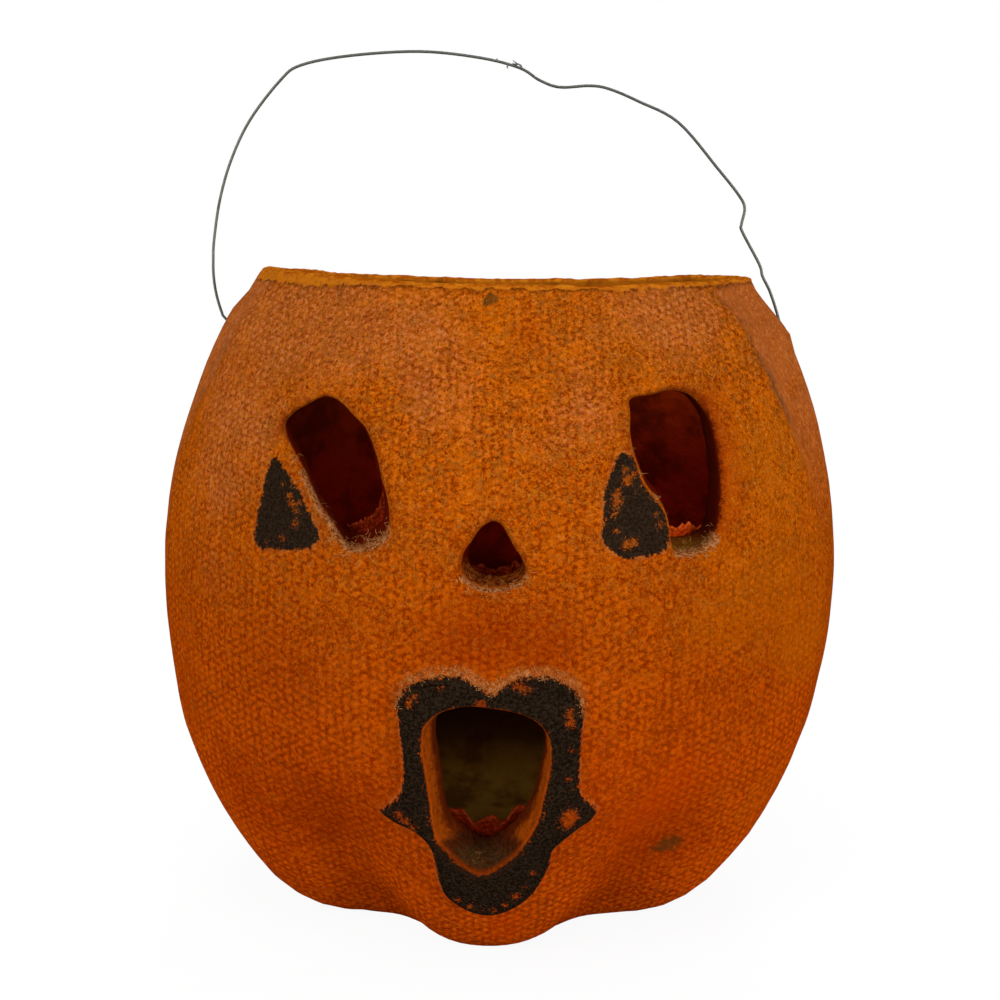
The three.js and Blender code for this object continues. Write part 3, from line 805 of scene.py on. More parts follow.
READ_BY_MATERIALS = {
    "paint": paint, "edge_gap": np.minimum(edge_gap, FAR["opening"]),
    "weave": np.stack([weave_x, weave_z, zone], axis=1), "zone": zone, "lower_groove_shade": lower,
    "crease_dust_and_shade": crease_dust_and_shade, "panel": panel, "bead": np.minimum(bead, FAR["opening"]),
    "hole_gap": np.minimum(hole_gap, FAR["opening"]), "funnel": np.zeros(len(skin)),
    "lip": lip_gap,
}
for name, values in READ_BY_MATERIALS.items():
    write_value(shell, name, values)
move_corners(shell, (skin + normals * push[:, None]) * MM)
print("corners wrapped:", len(skin))


# %% [markdown]
# The funnels
#
# Every edge is extruded ring by ring: first round the soft edge, then back along the funnel to
# its torn end, then outwards round that end and forwards again to the wall's inner side, where
# Bridge Edge Loops joins it up. The pulp has a thickness wherever one looks.

# %% Rings of a funnel
SOFT_STEPS = 7
FUNNEL_STEPS = (0.2, 0.4, 0.6, 0.8, 0.95)
# Round the torn end: margin outwards and depth past the funnel's.
END_STEPS = ((0.3, 0.0), (1.2, 0.2), (2.1, 0.0), (FUNNEL_WALL, -0.65))
RETURN_STEPS = (0.7, 0.4)
RAGGED_END = 1.1


def funnel_rings():
    """For each ring: share of the soft edge's width, margin, depth, share of the funnel."""
    rings = []
    for turn in np.linspace(0, math.pi / 2, SOFT_STEPS)[1:]:
        rings.append((1 - math.sin(turn), 0, EDGE_DEPTH * (1 - math.cos(turn)), 0))
    for share in FUNNEL_STEPS:
        rings.append((0, 0, EDGE_DEPTH + (FUNNEL_DEPTH - EDGE_DEPTH) * share, share))
    for margin, back in END_STEPS:
        rings.append((0, margin, FUNNEL_DEPTH + back, 1))
    for share in RETURN_STEPS:
        rings.append((0, FUNNEL_WALL, EDGE_DEPTH + (FUNNEL_DEPTH - EDGE_DEPTH) * share, share))
    return rings


def extrude_ring(piece, chosen):
    """Extrudes these edges in place and gives back which corners are new."""
    pick(piece, "edges", chosen)
    bpy.ops.mesh.extrude_edges_move()
    bpy.ops.object.mode_set(mode="OBJECT")
    fresh = np.empty(len(piece.data.vertices), bool)
    piece.data.vertices.foreach_get("select", fresh)
    return np.flatnonzero(fresh)


def front_y(points, start_flat):
    """Y of the plain skin at points given as x and z."""
    found = sheet_place(points, start_flat)
    return wrap(np.radians(found[:, 0]), found[:, 1])[:, 1]


# %% The edges on the outside, in order, and how far they stand off the plain skin
ends = edge_ends(shell)
owner = read_value(shell, "opening")
depth_of = read_value(shell, "zone")
ring_edges = (owner[ends] >= 0).all(axis=1) & (depth_of[ends] < 0.5).all(axis=1)
ring_edges &= edge_uses(shell) == 1
first = np.unique(ends[ring_edges])
first = first[np.lexsort((read_value(shell, "edge_place")[first], owner[first]))]
first_spot = corners(shell)[first] / MM
first_flat = flat[first]
first_drift = first_spot[:, 1] - front_y(first_spot[:, [0, 2]], first_flat)
print(f"edge corners: {len(first)}, off the plain skin by up to {np.abs(first_drift).max():.2f} mm")


# %% Extruding the rings
for width, margin, depth, share in funnel_rings():
    fresh = extrude_ring(shell, ring_edges)
    ends = edge_ends(shell)
    is_fresh = np.zeros(len(shell.data.vertices), bool)
    is_fresh[fresh] = True
    ring_edges = is_fresh[ends].all(axis=1)
    who = read_value(shell, "opening")[fresh].astype(int)
    where = read_value(shell, "edge_place")[fresh]
    order = np.lexsort((where, who))
    fresh, who, where = fresh[order], who[order], where[order]
    places = corners(shell)
    for index, opening in enumerate(OPENINGS):
        mine = who == index
        spot = np.c_[where[mine], np.full(mine.sum(), index * 50.0), np.zeros(mine.sum())]
        torn = RAGGED_END * lumps(spot, size=7, seed=3) * share
        points = opening.ring(where[mine], width * opening.widen(where[mine]) + margin, share)
        y = front_y(points, first_flat[mine]) + depth + torn + first_drift[mine] * (1 - share)
        places[fresh[mine]] = np.stack([points[:, 0], y, points[:, 1]], axis=1) * MM
    move_corners(shell, places)
    funnel = read_value(shell, "funnel")
    funnel[fresh] = depth + margin
    write_value(shell, "funnel", funnel)
print("rings:", len(funnel_rings()), "faces:", len(shell.data.polygons))


# %% Joining the funnels to the inside, the seam and the middles of the floor
for index in range(len(OPENINGS)):
    ends = edge_ends(shell)
    owner = read_value(shell, "opening")
    pick(shell, "edges", (edge_uses(shell) == 1) & (owner[ends] == index).all(axis=1))
    bpy.ops.mesh.bridge_edge_loops()
    bpy.ops.object.mode_set(mode="OBJECT")
pick(shell, "vertices", np.ones(len(shell.data.vertices), bool))
bpy.ops.mesh.remove_doubles(threshold=0.01 * MM)
bpy.ops.mesh.normals_make_consistent(inside=False)
bpy.ops.object.mode_set(mode="OBJECT")
bpy.ops.object.shade_smooth()
print("shell:", len(shell.data.polygons), "faces, open edges:", int((edge_uses(shell) == 1).sum()))
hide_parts("pulp_shell")
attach(shell, "shell")


# %% [markdown]
# Where the hand left its marks, and spots of painted shade
#
# Bare flecks in the brushed paint, raw grey fibres where the knife tore the pulp, smudges and
# specks, and painted shade where the eyes' top edges roll in. Each is a place on the front, in
# millimetres, with a reach and a strength.

# %% Touches: x, z, reach and strength
FLECKS = [
    (-15.2, 68.8, 1.3, 0.8), (-13.9, 70.4, 0.9, 0.7), (-8.6, 72.4, 1.0, 0.6), (6.8, 73.0, 1.4, 0.75),
    (8.8, 72.2, 1.2, 0.7), (17.2, 67.2, 1.2, 0.8), (17.4, 64.8, 1.3, 0.9), (17.7, 43.4, 1.9, 1.2),
    (17.1, 41.4, 1.3, 0.9), (-18.0, 42.9, 1.2, 0.8), (-16.3, 41.4, 1.2, 0.9), (-14.7, 39.9, 1.1, 0.7),
    (-0.6, 69.2, 1.2, 0.9), (-5.8, 21.3, 1.0, 0.7), (-3.5, 19.6, 1.0, 0.75), (-1.0, 18.7, 0.9, 0.6),
    (1.6, 18.6, 1.0, 0.7), (4.2, 20.1, 0.9, 0.8), (6.5, 22.6, 1.1, 0.9), (8.4, 25.4, 0.8, 0.7),
    (10.2, 29.1, 0.9, 0.8), (17.7, 59.2, 0.8, 0.6), (17.2, 52.4, 0.8, 0.8), (18.1, 50.2, 0.7, 0.5),
    (-42.6, 110.6, 0.8, 0.7), (-41.0, 108.6, 0.8, 0.8), (-40.5, 106.8, 1.1, 0.9),
    (-39.3, 105.4, 0.8, 0.7), (-39.6, 102.9, 1.1, 0.9), (-42.6, 99.6, 0.9, 0.8),
    (-46.2, 98.5, 0.8, 0.6), (-38.6, 107.3, 0.7, 0.8), (27.6, 115.3, 1.0, 0.8),
    (28.3, 113.2, 1.2, 1.0), (29.8, 114.6, 0.8, 0.7), (26.0, 110.8, 1.2, 0.9),
    (26.1, 108.7, 1.2, 1.0), (25.4, 106.6, 0.9, 0.8), (28.4, 100.6, 1.3, 1.0), (29.9, 101.2, 0.9, 0.8),
    (35.1, 104.2, 1.0, 0.8), (34.1, 106.4, 0.8, 0.7), (25.9, 103.5, 1.0, 0.7), (30.2, 111.0, 0.8, 0.5),
]
RAW_FIBRES = [
    (-40.6, 115.6, 1.2, 0.6), (-38.8, 112.4, 1.8, 0.8), (-37.0, 109.4, 1.9, 0.9), (-35.2, 106.8, 1.9, 0.9),
    (-33.0, 103.6, 1.9, 0.9), (-30.9, 101.2, 1.9, 1.0), (-28.2, 99.4, 2.2, 1.1), (-25.6, 99.2, 2.4, 1.3),
    (-22.8, 100.2, 2.2, 1.2), (-20.6, 101.8, 1.6, 0.9), (-20.0, 103.6, 1.0, 0.6),
    (41.0, 97.7, 1.7, 0.9), (44.0, 98.2, 1.9, 1.1), (46.4, 100.0, 1.8, 1.0), (38.8, 98.0, 1.2, 0.7),
    (-4.9, 93.9, 1.2, 0.8), (-2.6, 92.9, 1.5, 1.0), (0.4, 92.3, 1.6, 1.1), (3.6, 92.3, 1.6, 1.1),
    (6.6, 93.2, 1.4, 0.9), (8.4, 94.9, 1.1, 0.6),
    (29.3, 119.0, 0.7, 0.5), (31.2, 114.6, 0.8, 0.7), (34.2, 110.0, 0.9, 0.7), (36.9, 105.4, 0.8, 0.6),
    (-1.5, 30.4, 2.0, 0.4),
]
SMUDGES = [
    (41.2, 26.9, 3.6, 0.9), (37.5, 25.5, 2.4, 0.5), (-62.6, 61.0, 1.0, 1.1), (-26.4, 79.4, 0.7, 0.9),
    (-0.6, 148.9, 1.1, 1.5), (0.9, 148.4, 0.8, 1.0), (-20.0, 81.0, 0.5, 0.6), (32.0, 142.5, 1.2, 0.5),
    (47.6, 150.2, 1.1, 0.8), (10.5, 71.5, 0.4, 0.4), (55.5, 101.0, 0.6, 0.6), (-52.5, 92.0, 0.5, 0.5),
]
RUBBED_TAN = [
    (-56, 145, 9, 0.9), (-41, 142, 12, 1), (-27, 144, 10, 0.8), (-12, 143, 9, 0.5), (31, 148, 9, 0.8),
    (42, 145, 9, 0.9), (-59, 126, 9, 0.8), (-60, 109, 9, 0.6), (-49, 121, 8, 0.6), (21, 127, 8, 0.6),
    (-10, 129, 9, 0.6), (-63, 91, 9, 0.3), (14, 121, 8, 0.35),
]
GOLDEN = [
    (65, 93, 10, 0.8), (70, 73, 10, 0.9), (61, 111, 9, 0.8), (59, 121, 8, 0.7), (54, 87, 12, 0.5),
    (31, 139, 8, 0.5), (7, 112, 10, 0.25), (-17, 111, 8, 0.3), (44, 80, 12, 0.3), (-70, 102, 7, 0.5),
    (60, 36, 10, 0.5), (-66, 58, 8, 0.3), (-24, 60, 8, 0.25),
]
BRIGHT_ORANGE = [
    (1, 146, 6, 0.9), (2, 139, 6, 0.8), (-14, 139, 6, 0.5), (-40, 132, 7, 0.6), (-33, 131, 7, 0.6),
    (53, 120, 8, 0.5), (15, 106, 9, 0.25), (-27, 91, 9, 0.4),
]
DEEP_RED = [
    (-44, 31, 17, 0.6), (-29, 42, 13, 0.5), (34, 23, 14, 0.45), (45, 31, 9, 0.5), (-59, 40, 11, 0.4),
    (-5, 82, 11, 0.9), (11, 82, 10, 0.8), (-39, 66, 16, 0.3), (8, 142, 6, 0.6), (-50, 77, 12, 0.3),
    (40, 61, 10, 0.3), (-16, 133, 6, 0.4),
]
RED_GLOW = [
    (4, 11, 5, 0.9), (43, 48, 10, 0.5), (24, 56, 10, 0.3), (-14, 21, 6, 0.4), (33, 37, 11, 0.6),
]
# Painted shade where the pulp rolls in along the tops of the eyes.
ROLLED_IN_SHADE = [
    (-43.9, 120.8, 1.5, 0.7), (-42.9, 123.4, 1.6, 0.8), (-40.7, 125.5, 1.5, 0.7), (-37.6, 127.2, 1.3, 0.7),
    (-34.4, 128.5, 1.1, 0.6), (29.6, 129.4, 1.1, 0.6), (32.6, 130.1, 1.1, 0.7), (35.0, 130.6, 1.1, 0.7),
    (37.4, 130.9, 1.2, 0.8), (39.8, 130.6, 1.3, 0.8), (42.0, 129.8, 1.5, 0.9), (44.2, 127.8, 1.6, 0.9),
]
RIM_SPECK = {"place": (-51.5, 33, 152), "size": 1.3, "strength": 1.4}


# %% Touches kept on the corners
TOUCHES = {
    "flecks": FLECKS, "raw": RAW_FIBRES, "smudge": SMUDGES, "tan": RUBBED_TAN, "golden": GOLDEN,
    "orange": BRIGHT_ORANGE, "deep": DEEP_RED, "glow": RED_GLOW, "rolled": ROLLED_IN_SHADE,
}


def touches(x, z, on_front, places):
    """Sum of soft round spots; points off the front get none."""
    amount = np.zeros(len(x))
    for spot_x, spot_z, reach, strength in places:
        away = ((x - spot_x) ** 2 + (z - spot_z) ** 2) / reach**2
        amount += strength * np.exp(-away)
    return np.where(on_front, amount, 0)


FRONT_HALF = -20
OUTER_ZONE = 1.5
spots = corners(shell) / MM
on_front = (spots[:, 1] < FRONT_HALF) & (read_value(shell, "zone") < OUTER_ZONE)
for name, places in TOUCHES.items():
    write_value(shell, name, touches(spots[:, 0], spots[:, 2], on_front, places))
speck = np.linalg.norm(spots - RIM_SPECK["place"], axis=1) / RIM_SPECK["size"]
on_rim = RIM_SPECK["strength"] * np.exp(-(speck**2))
write_value(shell, "smudge", read_value(shell, "smudge") + on_rim)
print("touches:", sum(len(places) for places in TOUCHES.values()))


# %% [markdown]
# Mixing a finish from nodes
#
# One helper adds a node, sets it up and joins its inputs. A second one lays coats of colour over
# each other, as a painter would: each coat is a colour and what decides how much of it shows.
# Colours are written as on a paint chart, in hex, and turned into the linear values that a shader
# works in.

# %% Node helper, colours and coats
SMOOTHLY = {"interpolation_type": "SMOOTHSTEP"}


def linear(chart):
    """A hex colour as the linear colour that a shader wants."""
    parts = [int(chart[index:index + 2], 16) / 255 for index in (1, 3, 5)]
    parts = [part / 12.92 if part < 0.04045 else ((part + 0.055) / 1.055) ** 2.4 for part in parts]
    return (*parts, 1)


def add(tree, kind, inputs=(), take=0, **settings):
    """Adds a node with its settings and inputs, by name or in order, and gives back one output."""
    node = tree.nodes.new("ShaderNode" + kind)
    for name, value in settings.items():
        setattr(node, name, value)
    named = inputs.items() if isinstance(inputs, dict) else enumerate(inputs)
    for name, value in named:
        if isinstance(value, bpy.types.NodeSocket):
            tree.links.new(value, node.inputs[name])
        else:
            node.inputs[name].default_value = value
    return node.outputs[take] if node.outputs else None


def lay(tree, colour, coats):
    """Lays coats over a colour. A coat's share is the product of its factors: numbers, sockets, or a
    socket with the two values between which it is followed, from 0 to 1 or as the next two say."""
    colour = linear(colour) if isinstance(colour, str) else colour
    for coat, *factors in coats:
        share = 1.0
        for factor in factors:
            if isinstance(factor, tuple):
                factor = add(tree, "MapRange", factor, **SMOOTHLY)
            share = add(tree, "Math", (share, factor), operation="MULTIPLY")
        coat = linear(coat) if isinstance(coat, str) else coat
        colour = add(tree, "Mix", {0: share, 6: colour, 7: coat}, take=2, data_type="RGBA")
    return colour


def new_finish(name):
    """An empty material with its shader, and a position on the piece in millimetres."""
    finish = bpy.data.materials.new(name)
    finish.use_nodes = True
    tree = finish.node_tree
    tree.nodes.clear()
    surface = add(tree, "BsdfPrincipled")
    add(tree, "OutputMaterial", (surface,))
    place = add(tree, "TexCoord", take="Object")
    place = add(tree, "Mapping", {"Vector": place, "Scale": (1000, 1000, 1000)})
    return finish, tree, surface.node.inputs, place


# %% [markdown]
# Orange-dyed pulp
#
# Close up, the skin is felted paper. Its speckle is fibres: the tips rubbed light, the hollows
# dark with dye, and thin lines of painted shadow run along some fibres. Over it lies the pattern
# of the screen that the pulp was pressed against, small bumps in offset rows. The colour is
# painted lighter low down and near the rim than round the middle, as painted light. Wear and dirt
# follow the form: the forehead is rubbed brown and tan, and dust lies along the two upper creases.
# Painted shade darkens those creases and the lower grooves, which are painted a darker red. Nothing
# of it shines, so the shader has no gloss.

# %% Dyed pulp: what the corners know
pulp, tree, shader, place = new_finish("orange_dyed_moulded_pulp")
KNOWN = (
    "paint", "edge_gap", "zone", "lower_groove_shade", "crease_dust_and_shade", "panel", "bead", "hole_gap", "funnel",
    "opening", "lip", "rolled", "flecks", "raw", "smudge", "tan", "golden", "orange", "deep", "glow",
)
know = {name: add(tree, "Attribute", take="Fac", attribute_name=name) for name in KNOWN}
across = add(tree, "SeparateXYZ", (place,), take="X")
height = across.node.outputs["Z"]
print("read from the corners:", len(know))


# %% Dyed pulp: noises, by what they stand for
# Features per millimetre, detail and roughness.
NOISES = {
    "felt": (0.95, 6, 0.78), "grain": (1.6, 5, 0.8), "crumbs": (0.35, 3, 0.6),
    "dents": (0.14, 2, 0.5), "patches": (0.05, 2, 0.6), "clouds": (0.09, 4, 0.7),
    "small clouds": (0.4, 3, 0.6), "mottle": (0.13, 4, 0.65), "tips": (1.35, 5, 0.75),
    "pits": (1.5, 5, 0.75), "dust_and_shade": (0.22, 4, 0.7), "specks": (0.9, 2, 0.5),
    "ragged": (1.2, 4, 0.75), "skips": (2.0, 4, 0.8), "brush": (1.9, 3, 0.7),
    "halo": (0.8, 3, 0.6), "fringe": (0.7, 4, 0.75), "fringe hairs": (1.7, 4, 0.75),
    "fuzz": (1.1, 4, 0.75), "fuzz hairs": (1.6, 4, 0.7), "tear": (0.5, 5, 0.75),
    "foot": (1.1, 4, 0.7), "inside": (0.07, 4, 0.6), "rim": (0.5, 4, 0.6),
    "smudge": (0.7, 3, 0.6), "curls": (0.6, 3, 0.65), "long fibres": (0.7, 2, 0.5),
    "long gaps": (0.42, 2, 0.6), "short fibres": (1.1, 2, 0.5), "short gaps": (0.66, 2, 0.6),
}
seen = {}
for name, (scale, detail, roughness) in NOISES.items():
    inputs = {"Vector": place, "Scale": scale, "Detail": detail, "Roughness": roughness}
    seen[name] = add(tree, "TexNoise", inputs)
print("noises:", len(seen))


# %% Dyed pulp: the screen's pattern
# Three waves at angles to each other make bumps in offset rows, 1.9 mm apart. A slow wobble bends
# the rows, and they fade where the skin is smooth, at the openings and on the rim.
SCREEN_WAVES = ((0.528, 0), (0.264, 0.5646), (-0.264, 0.5646))
WOBBLE = {"scale": 0.22, "reach": 1.5}
wobble = add(tree, "TexNoise", {"Vector": place, "Scale": WOBBLE["scale"], "Detail": 2}, take="Color")
wobble = add(tree, "VectorMath", (wobble, (0.5, 0.5, 0.5)), operation="SUBTRACT")
wobble = add(tree, "VectorMath", {0: wobble, "Scale": WOBBLE["reach"]}, operation="SCALE")
weave = add(tree, "Attribute", take="Vector", attribute_name="weave")
weave = add(tree, "VectorMath", (weave, wobble), operation="ADD")
waves = 0.0
for turns_across, turns_up in SCREEN_WAVES:
    way = (turns_across * math.tau, turns_up * math.tau, 0)
    wave = add(tree, "VectorMath", (weave, way), take="Value", operation="DOT_PRODUCT")
    wave = add(tree, "Math", (wave,), operation="COSINE")
    waves = add(tree, "Math", (waves, wave), operation="ADD")
dots = add(tree, "MapRange", (waves, -1.2, 2.8), **SMOOTHLY)
for fade in (
    (know["panel"], 0, 1, 1.0, 0.1), (seen["patches"], 0.35, 0.6, 0.4, 1.0),
    (know["edge_gap"], 0.5, 3), (know["zone"], 0.1, 0.9, 1.0, 0.0),
):
    fade = add(tree, "MapRange", fade, **SMOOTHLY)
    dots = add(tree, "Math", (dots, fade), operation="MULTIPLY")
print(f"bumps of a row: {1 / SCREEN_WAVES[0][0]:.1f} mm apart")


# %% Dyed pulp: fibres, thin curled lines where a noise passes through its middle value
fibres = {}
for name, lines, gaps, half_width in (
    ("long", "long fibres", "long gaps", 0.05), ("short", "short fibres", "short gaps", 0.08),
    ("hollows", "long fibres", "long gaps", 0.09), ("curls", "curls", None, 0.05),
):
    line = add(tree, "Math", (seen[lines], 0.5), operation="SUBTRACT")
    line = add(tree, "Math", (line,), operation="ABSOLUTE")
    line = add(tree, "MapRange", (line, 0.0, half_width, 1.0, 0.0), **SMOOTHLY)
    if gaps:
        here = add(tree, "MapRange", (seen[gaps], 0.5, 0.62), **SMOOTHLY)
        line = add(tree, "Math", (line, here), operation="MULTIPLY")
    fibres[name] = line
fibres_seen = add(tree, "Math", (fibres["long"], fibres["short"]), operation="MAXIMUM")
print("kinds of fibre:", len(fibres))


# %% Dyed pulp: clouds of wear and the felt's speckle, each a mix of noises
clouds = 0.0
for name, weight in (("clouds", 0.6), ("small clouds", 0.4)):
    clouds = add(tree, "Math", (seen[name], weight, clouds), operation="MULTIPLY_ADD")
speckle = 0.0
for part, weight in (
    (seen["felt"], 0.55), (seen["grain"], 0.25), (dots, 0.1), (seen["crumbs"], 0.12),
):
    speckle = add(tree, "Math", (part, weight, speckle), operation="MULTIPLY_ADD")
print("nodes with clouds and speckle:", len(tree.nodes))


# %% Dyed pulp: values shaken by a noise, so that no edge is clean
# The value, the noise and how far the noise moves it.
near_edge = add(tree, "MapRange", (know["funnel"], 2.5, 1.0), **SMOOTHLY)
rolled = add(tree, "Math", (know["rolled"], near_edge), operation="MULTIPLY")
SHAKEN = {
    "bead": (know["bead"], seen["crumbs"], 3.2),
    "panel": (know["panel"], clouds, 3.0),
    "paint": (know["paint"], seen["ragged"], 3.6),
    "flecks": (know["flecks"], seen["skips"], 3.6),
    "raw": (know["raw"], seen["fuzz"], 1.0),
    "depth": (know["funnel"], seen["tear"], 5.0),
    "height": (height, seen["tear"], 5.0),
    "smudge": (know["smudge"], seen["smudge"], 1.0),
    "tan": (know["tan"], clouds, 2.0),
    "golden": (know["golden"], clouds, 2.0),
    "orange": (know["orange"], clouds, 2.0),
    "deep": (know["deep"], clouds, 1.0),
    "glow": (know["glow"], clouds, 1.0),
    "rolled": (rolled, speckle, 0.72),
}
shaken = {}
for name, (value, by, reach) in SHAKEN.items():
    shift = add(tree, "Math", (by, reach, -reach / 2), operation="MULTIPLY_ADD")
    shaken[name] = add(tree, "Math", (value, shift), operation="ADD")
print("shaken values:", len(shaken))


# %% Dyed pulp: heights in millimetres, for the bumps
on_bead = add(tree, "MapRange", (shaken["bead"], 0.25, -0.25), **SMOOTHLY)
below_bead = add(tree, "MapRange", (shaken["bead"], -0.1, 0.2), **SMOOTHLY)
near_bead = add(tree, "MapRange", (shaken["bead"], 0.3, 1.0, 1.0, 0.0), **SMOOTHLY)
pits_and_shade_under_bead = add(tree, "Math", (below_bead, near_bead), operation="MULTIPLY")
higher = add(tree, "MapRange", (height, 55, 125, 0.25, 1.0), **SMOOTHLY)
high_curls = add(tree, "Math", (fibres["curls"], higher), operation="MULTIPLY")
relief = 0.0
for part, depth in (
    (dots, 0.24), (seen["felt"], 1.15), (seen["grain"], 0.35), (seen["crumbs"], 1.1),
    (seen["dents"], 2.2), (fibres_seen, 0.12), (fibres["hollows"], -0.1), (on_bead, 0.4),
    (pits_and_shade_under_bead, -0.2), (high_curls, 0.12),
):
    relief = add(tree, "Math", (part, depth, relief), operation="MULTIPLY_ADD")
print("nodes with the relief:", len(tree.nodes))


# %% Dyed pulp: the dye, darker in the hollows and lighter on the tips, with painted light and shade by height in mm
DYE_AND_PAINTED_LIGHT = {
    # Outside: lighter low down and near the rim than round the middle, which is painted light.
    "hollows": [
        (2, "#8a2700"), (22, "#922b00"), (50, "#8c2b00"), (85, "#842b00"), (115, "#862d00"),
        (150, "#8a3300"),
    ],
    "tips": [
        (2, "#d85403"), (22, "#d65303"), (50, "#c84d02"), (85, "#bc4d02"), (115, "#cb5a05"),
        (150, "#d26812"),
    ],
    # Inside: mostly painted shade, lighter near the rim, near black from 54 to 62 mm, olive on the floor
    # where the raw pulp shows.
    "inside": [
        (4, "#a07428"), (8, "#8c6220"), (15, "#4a2c0a"), (22, "#321604"), (45, "#401604"),
        (54, "#1c0501"), (62, "#2c0702"), (69, "#98180a"), (95, "#a41c06"), (128, "#b43a08"),
        (140, "#b85a0e"), (150, "#d07414"),
    ],
}
DYE_TOP = 160
share_up = add(tree, "Math", (height, DYE_TOP), operation="DIVIDE")
dye_and_painted_light = {}
for name, stops in DYE_AND_PAINTED_LIGHT.items():
    dye_and_painted_light[name] = add(tree, "ValToRGB", (share_up,))
    ramp = dye_and_painted_light[name].node.color_ramp
    for at, _ in stops[1:-1]:
        ramp.elements.new(at / DYE_TOP)
    for element, (at, chart) in zip(ramp.elements, stops):
        element.position = at / DYE_TOP
        element.color = linear(chart)
print("dyes:", ", ".join(dye_and_painted_light))


# %% Dyed pulp: coats of the skin, from the dye to the dust, with painted shade in the grooves and creases
panel_tone = lay(tree, "#ac5a26", [("#d08248", (speckle, 0.44, 0.58))])
skin_colour = lay(tree, dye_and_painted_light["hollows"], [
    (dye_and_painted_light["tips"], (speckle, 0.41, 0.57)),
    ("#c75f04", (shaken["orange"], 0.1, 0.95), (speckle, 0.45, 0.58, 0.2, 0.8)),
    ("#b05a00", (shaken["golden"], 0.1, 0.95), 0.4),
    ("#8e4810", (seen["mottle"], 0.50, 0.62), (height, 70, 125, 0.1, 0.45)),
    ("#cc6406", (seen["mottle"], 0.47, 0.40), (height, 70, 125, 0.1, 0.45)),
    ("#c47848", (shaken["tan"], 0.1, 0.95), (speckle, 0.46, 0.6, 0.15, 0.85)),
    ("#d6761a", high_curls, (seen["felt"], 0.42, 0.58, 0.0, 0.55)),
    ("#dc7a10", (seen["tips"], 0.50, 0.62), higher, 0.55),
    ("#5e1c00", (seen["pits"], 0.50, 0.62), higher, 0.75),
    # Thin painted shadow lines along some fibres.
    ("#5a1e00", fibres["hollows"], higher, 0.6),
    ("#e08c34", fibres_seen, higher, 0.36),
    ("#861c00", (shaken["deep"], 0.1, 0.95), 0.36),
    ("#bf3c00", (shaken["glow"], 0.1, 0.95), 0.6),
    # Painted shade: the lower grooves painted a darker red.
    ("#7e2200", (know["lower_groove_shade"], 0.4, 1.0), 0.25),
    (panel_tone, (shaken["panel"], 0.2, 1.1), (height, 90, 132), 0.7),
    # Dust and painted shade along the two upper creases.
    ("#523c2c", know["crease_dust_and_shade"], (height, 114, 128), (seen["dust_and_shade"], 0.40, 0.56, 0.05, 0.85)),
    ("#cc7414", on_bead, (seen["felt"], 0.4, 0.56, 0.45, 1.0)),
    # Pits and painted shadow in a dark line under the rim's bead.
    ("#542304", pits_and_shade_under_bead, (seen["crumbs"], 0.42, 0.58, 0.05, 0.7)),
    ("#3a1c0a", (seen["specks"], 0.74, 0.78), 0.55),
])
print("nodes with the skin's coats:", len(tree.nodes))


# %% [markdown]
# Paint, torn fibres and the inside
#
# The black was brushed on dry, so it breaks up at its edge and skips the hollows in it. Where the
# openings were cut, the pulp under the dye shows tan and hairy. Inside, the colour is set by height
# and is mostly painted shade: orange near the rim, red further down, near black in the lower half,
# and olive on the floor, where the raw pulp shows.

# %% Dyed pulp: where the black covers
into = add(tree, "Math", (know["funnel"], know["edge_gap"]), operation="SUBTRACT")
RAGGED_REACH = SHAKEN["paint"][2]
worn = (seen["ragged"], RAGGED_REACH, -RAGGED_REACH / 2)
worn = add(tree, "Math", worn, operation="MULTIPLY_ADD")
worn = add(tree, "Math", (into, worn), operation="ADD")
covered = add(tree, "MapRange", (shaken["paint"], -0.1, 0.3), **SMOOTHLY)
for left in ((shaken["flecks"], 0.5, 0.8, 1.0, 0.3), (worn, 0.3, 0.7, 1.0, 0.0)):
    left = add(tree, "MapRange", left, **SMOOTHLY)
    covered = add(tree, "Math", (covered, left), operation="MULTIPLY")


# %% Dyed pulp: which opening it is
# The left eye is number 0, the right one 1, the nose 2 and the mouth 3.
at_opening = {}
for name, number in (("right eye", 1), ("nose", 2), ("mouth", 3)):
    off = add(tree, "Math", (know["opening"], number), operation="SUBTRACT")
    off = add(tree, "Math", (off,), operation="ABSOLUTE")
    at_opening[name] = add(tree, "MapRange", (off, 0.6, 0.4), **SMOOTHLY)
print("openings told apart:", ", ".join(at_opening))


# %% Dyed pulp: painted shade on the broad roll on the right side of the right eye
roll_depth = (know["edge_gap"], -0.6, know["funnel"])
roll_depth = add(tree, "Math", roll_depth, operation="MULTIPLY_ADD")
felt_shake = add(tree, "Math", (speckle, 6.0, -3.0), operation="MULTIPLY_ADD")
roll_depth = add(tree, "Math", (roll_depth, felt_shake), operation="ADD")
on_roll = 1.0
for limit in ((across, 41, 46), (height, 98, 103), (height, 139, 133)):
    limit = add(tree, "MapRange", limit, **SMOOTHLY)
    on_roll = add(tree, "Math", (on_roll, limit), operation="MULTIPLY")


# %% Dyed pulp: coats of paint and wear on the outside, with painted shade on the rolls and wire holes
brush = add(tree, "Math", (seen["grain"], seen["brush"]), operation="ADD")
black = lay(tree, "#130c07", [
    ("#2e2318", (brush, 0.88, 1.14)),
    ("#4a3626", (height, 85, 95), 0.12),
])
# Raw fuzz along the top of the lips, partly a painted highlight on the raised lips' upward-facing edge.
fuzz_and_highlight_tone = lay(tree, "#96450f", [("#cf8240", (seen["fringe hairs"], 0.46, 0.56))])
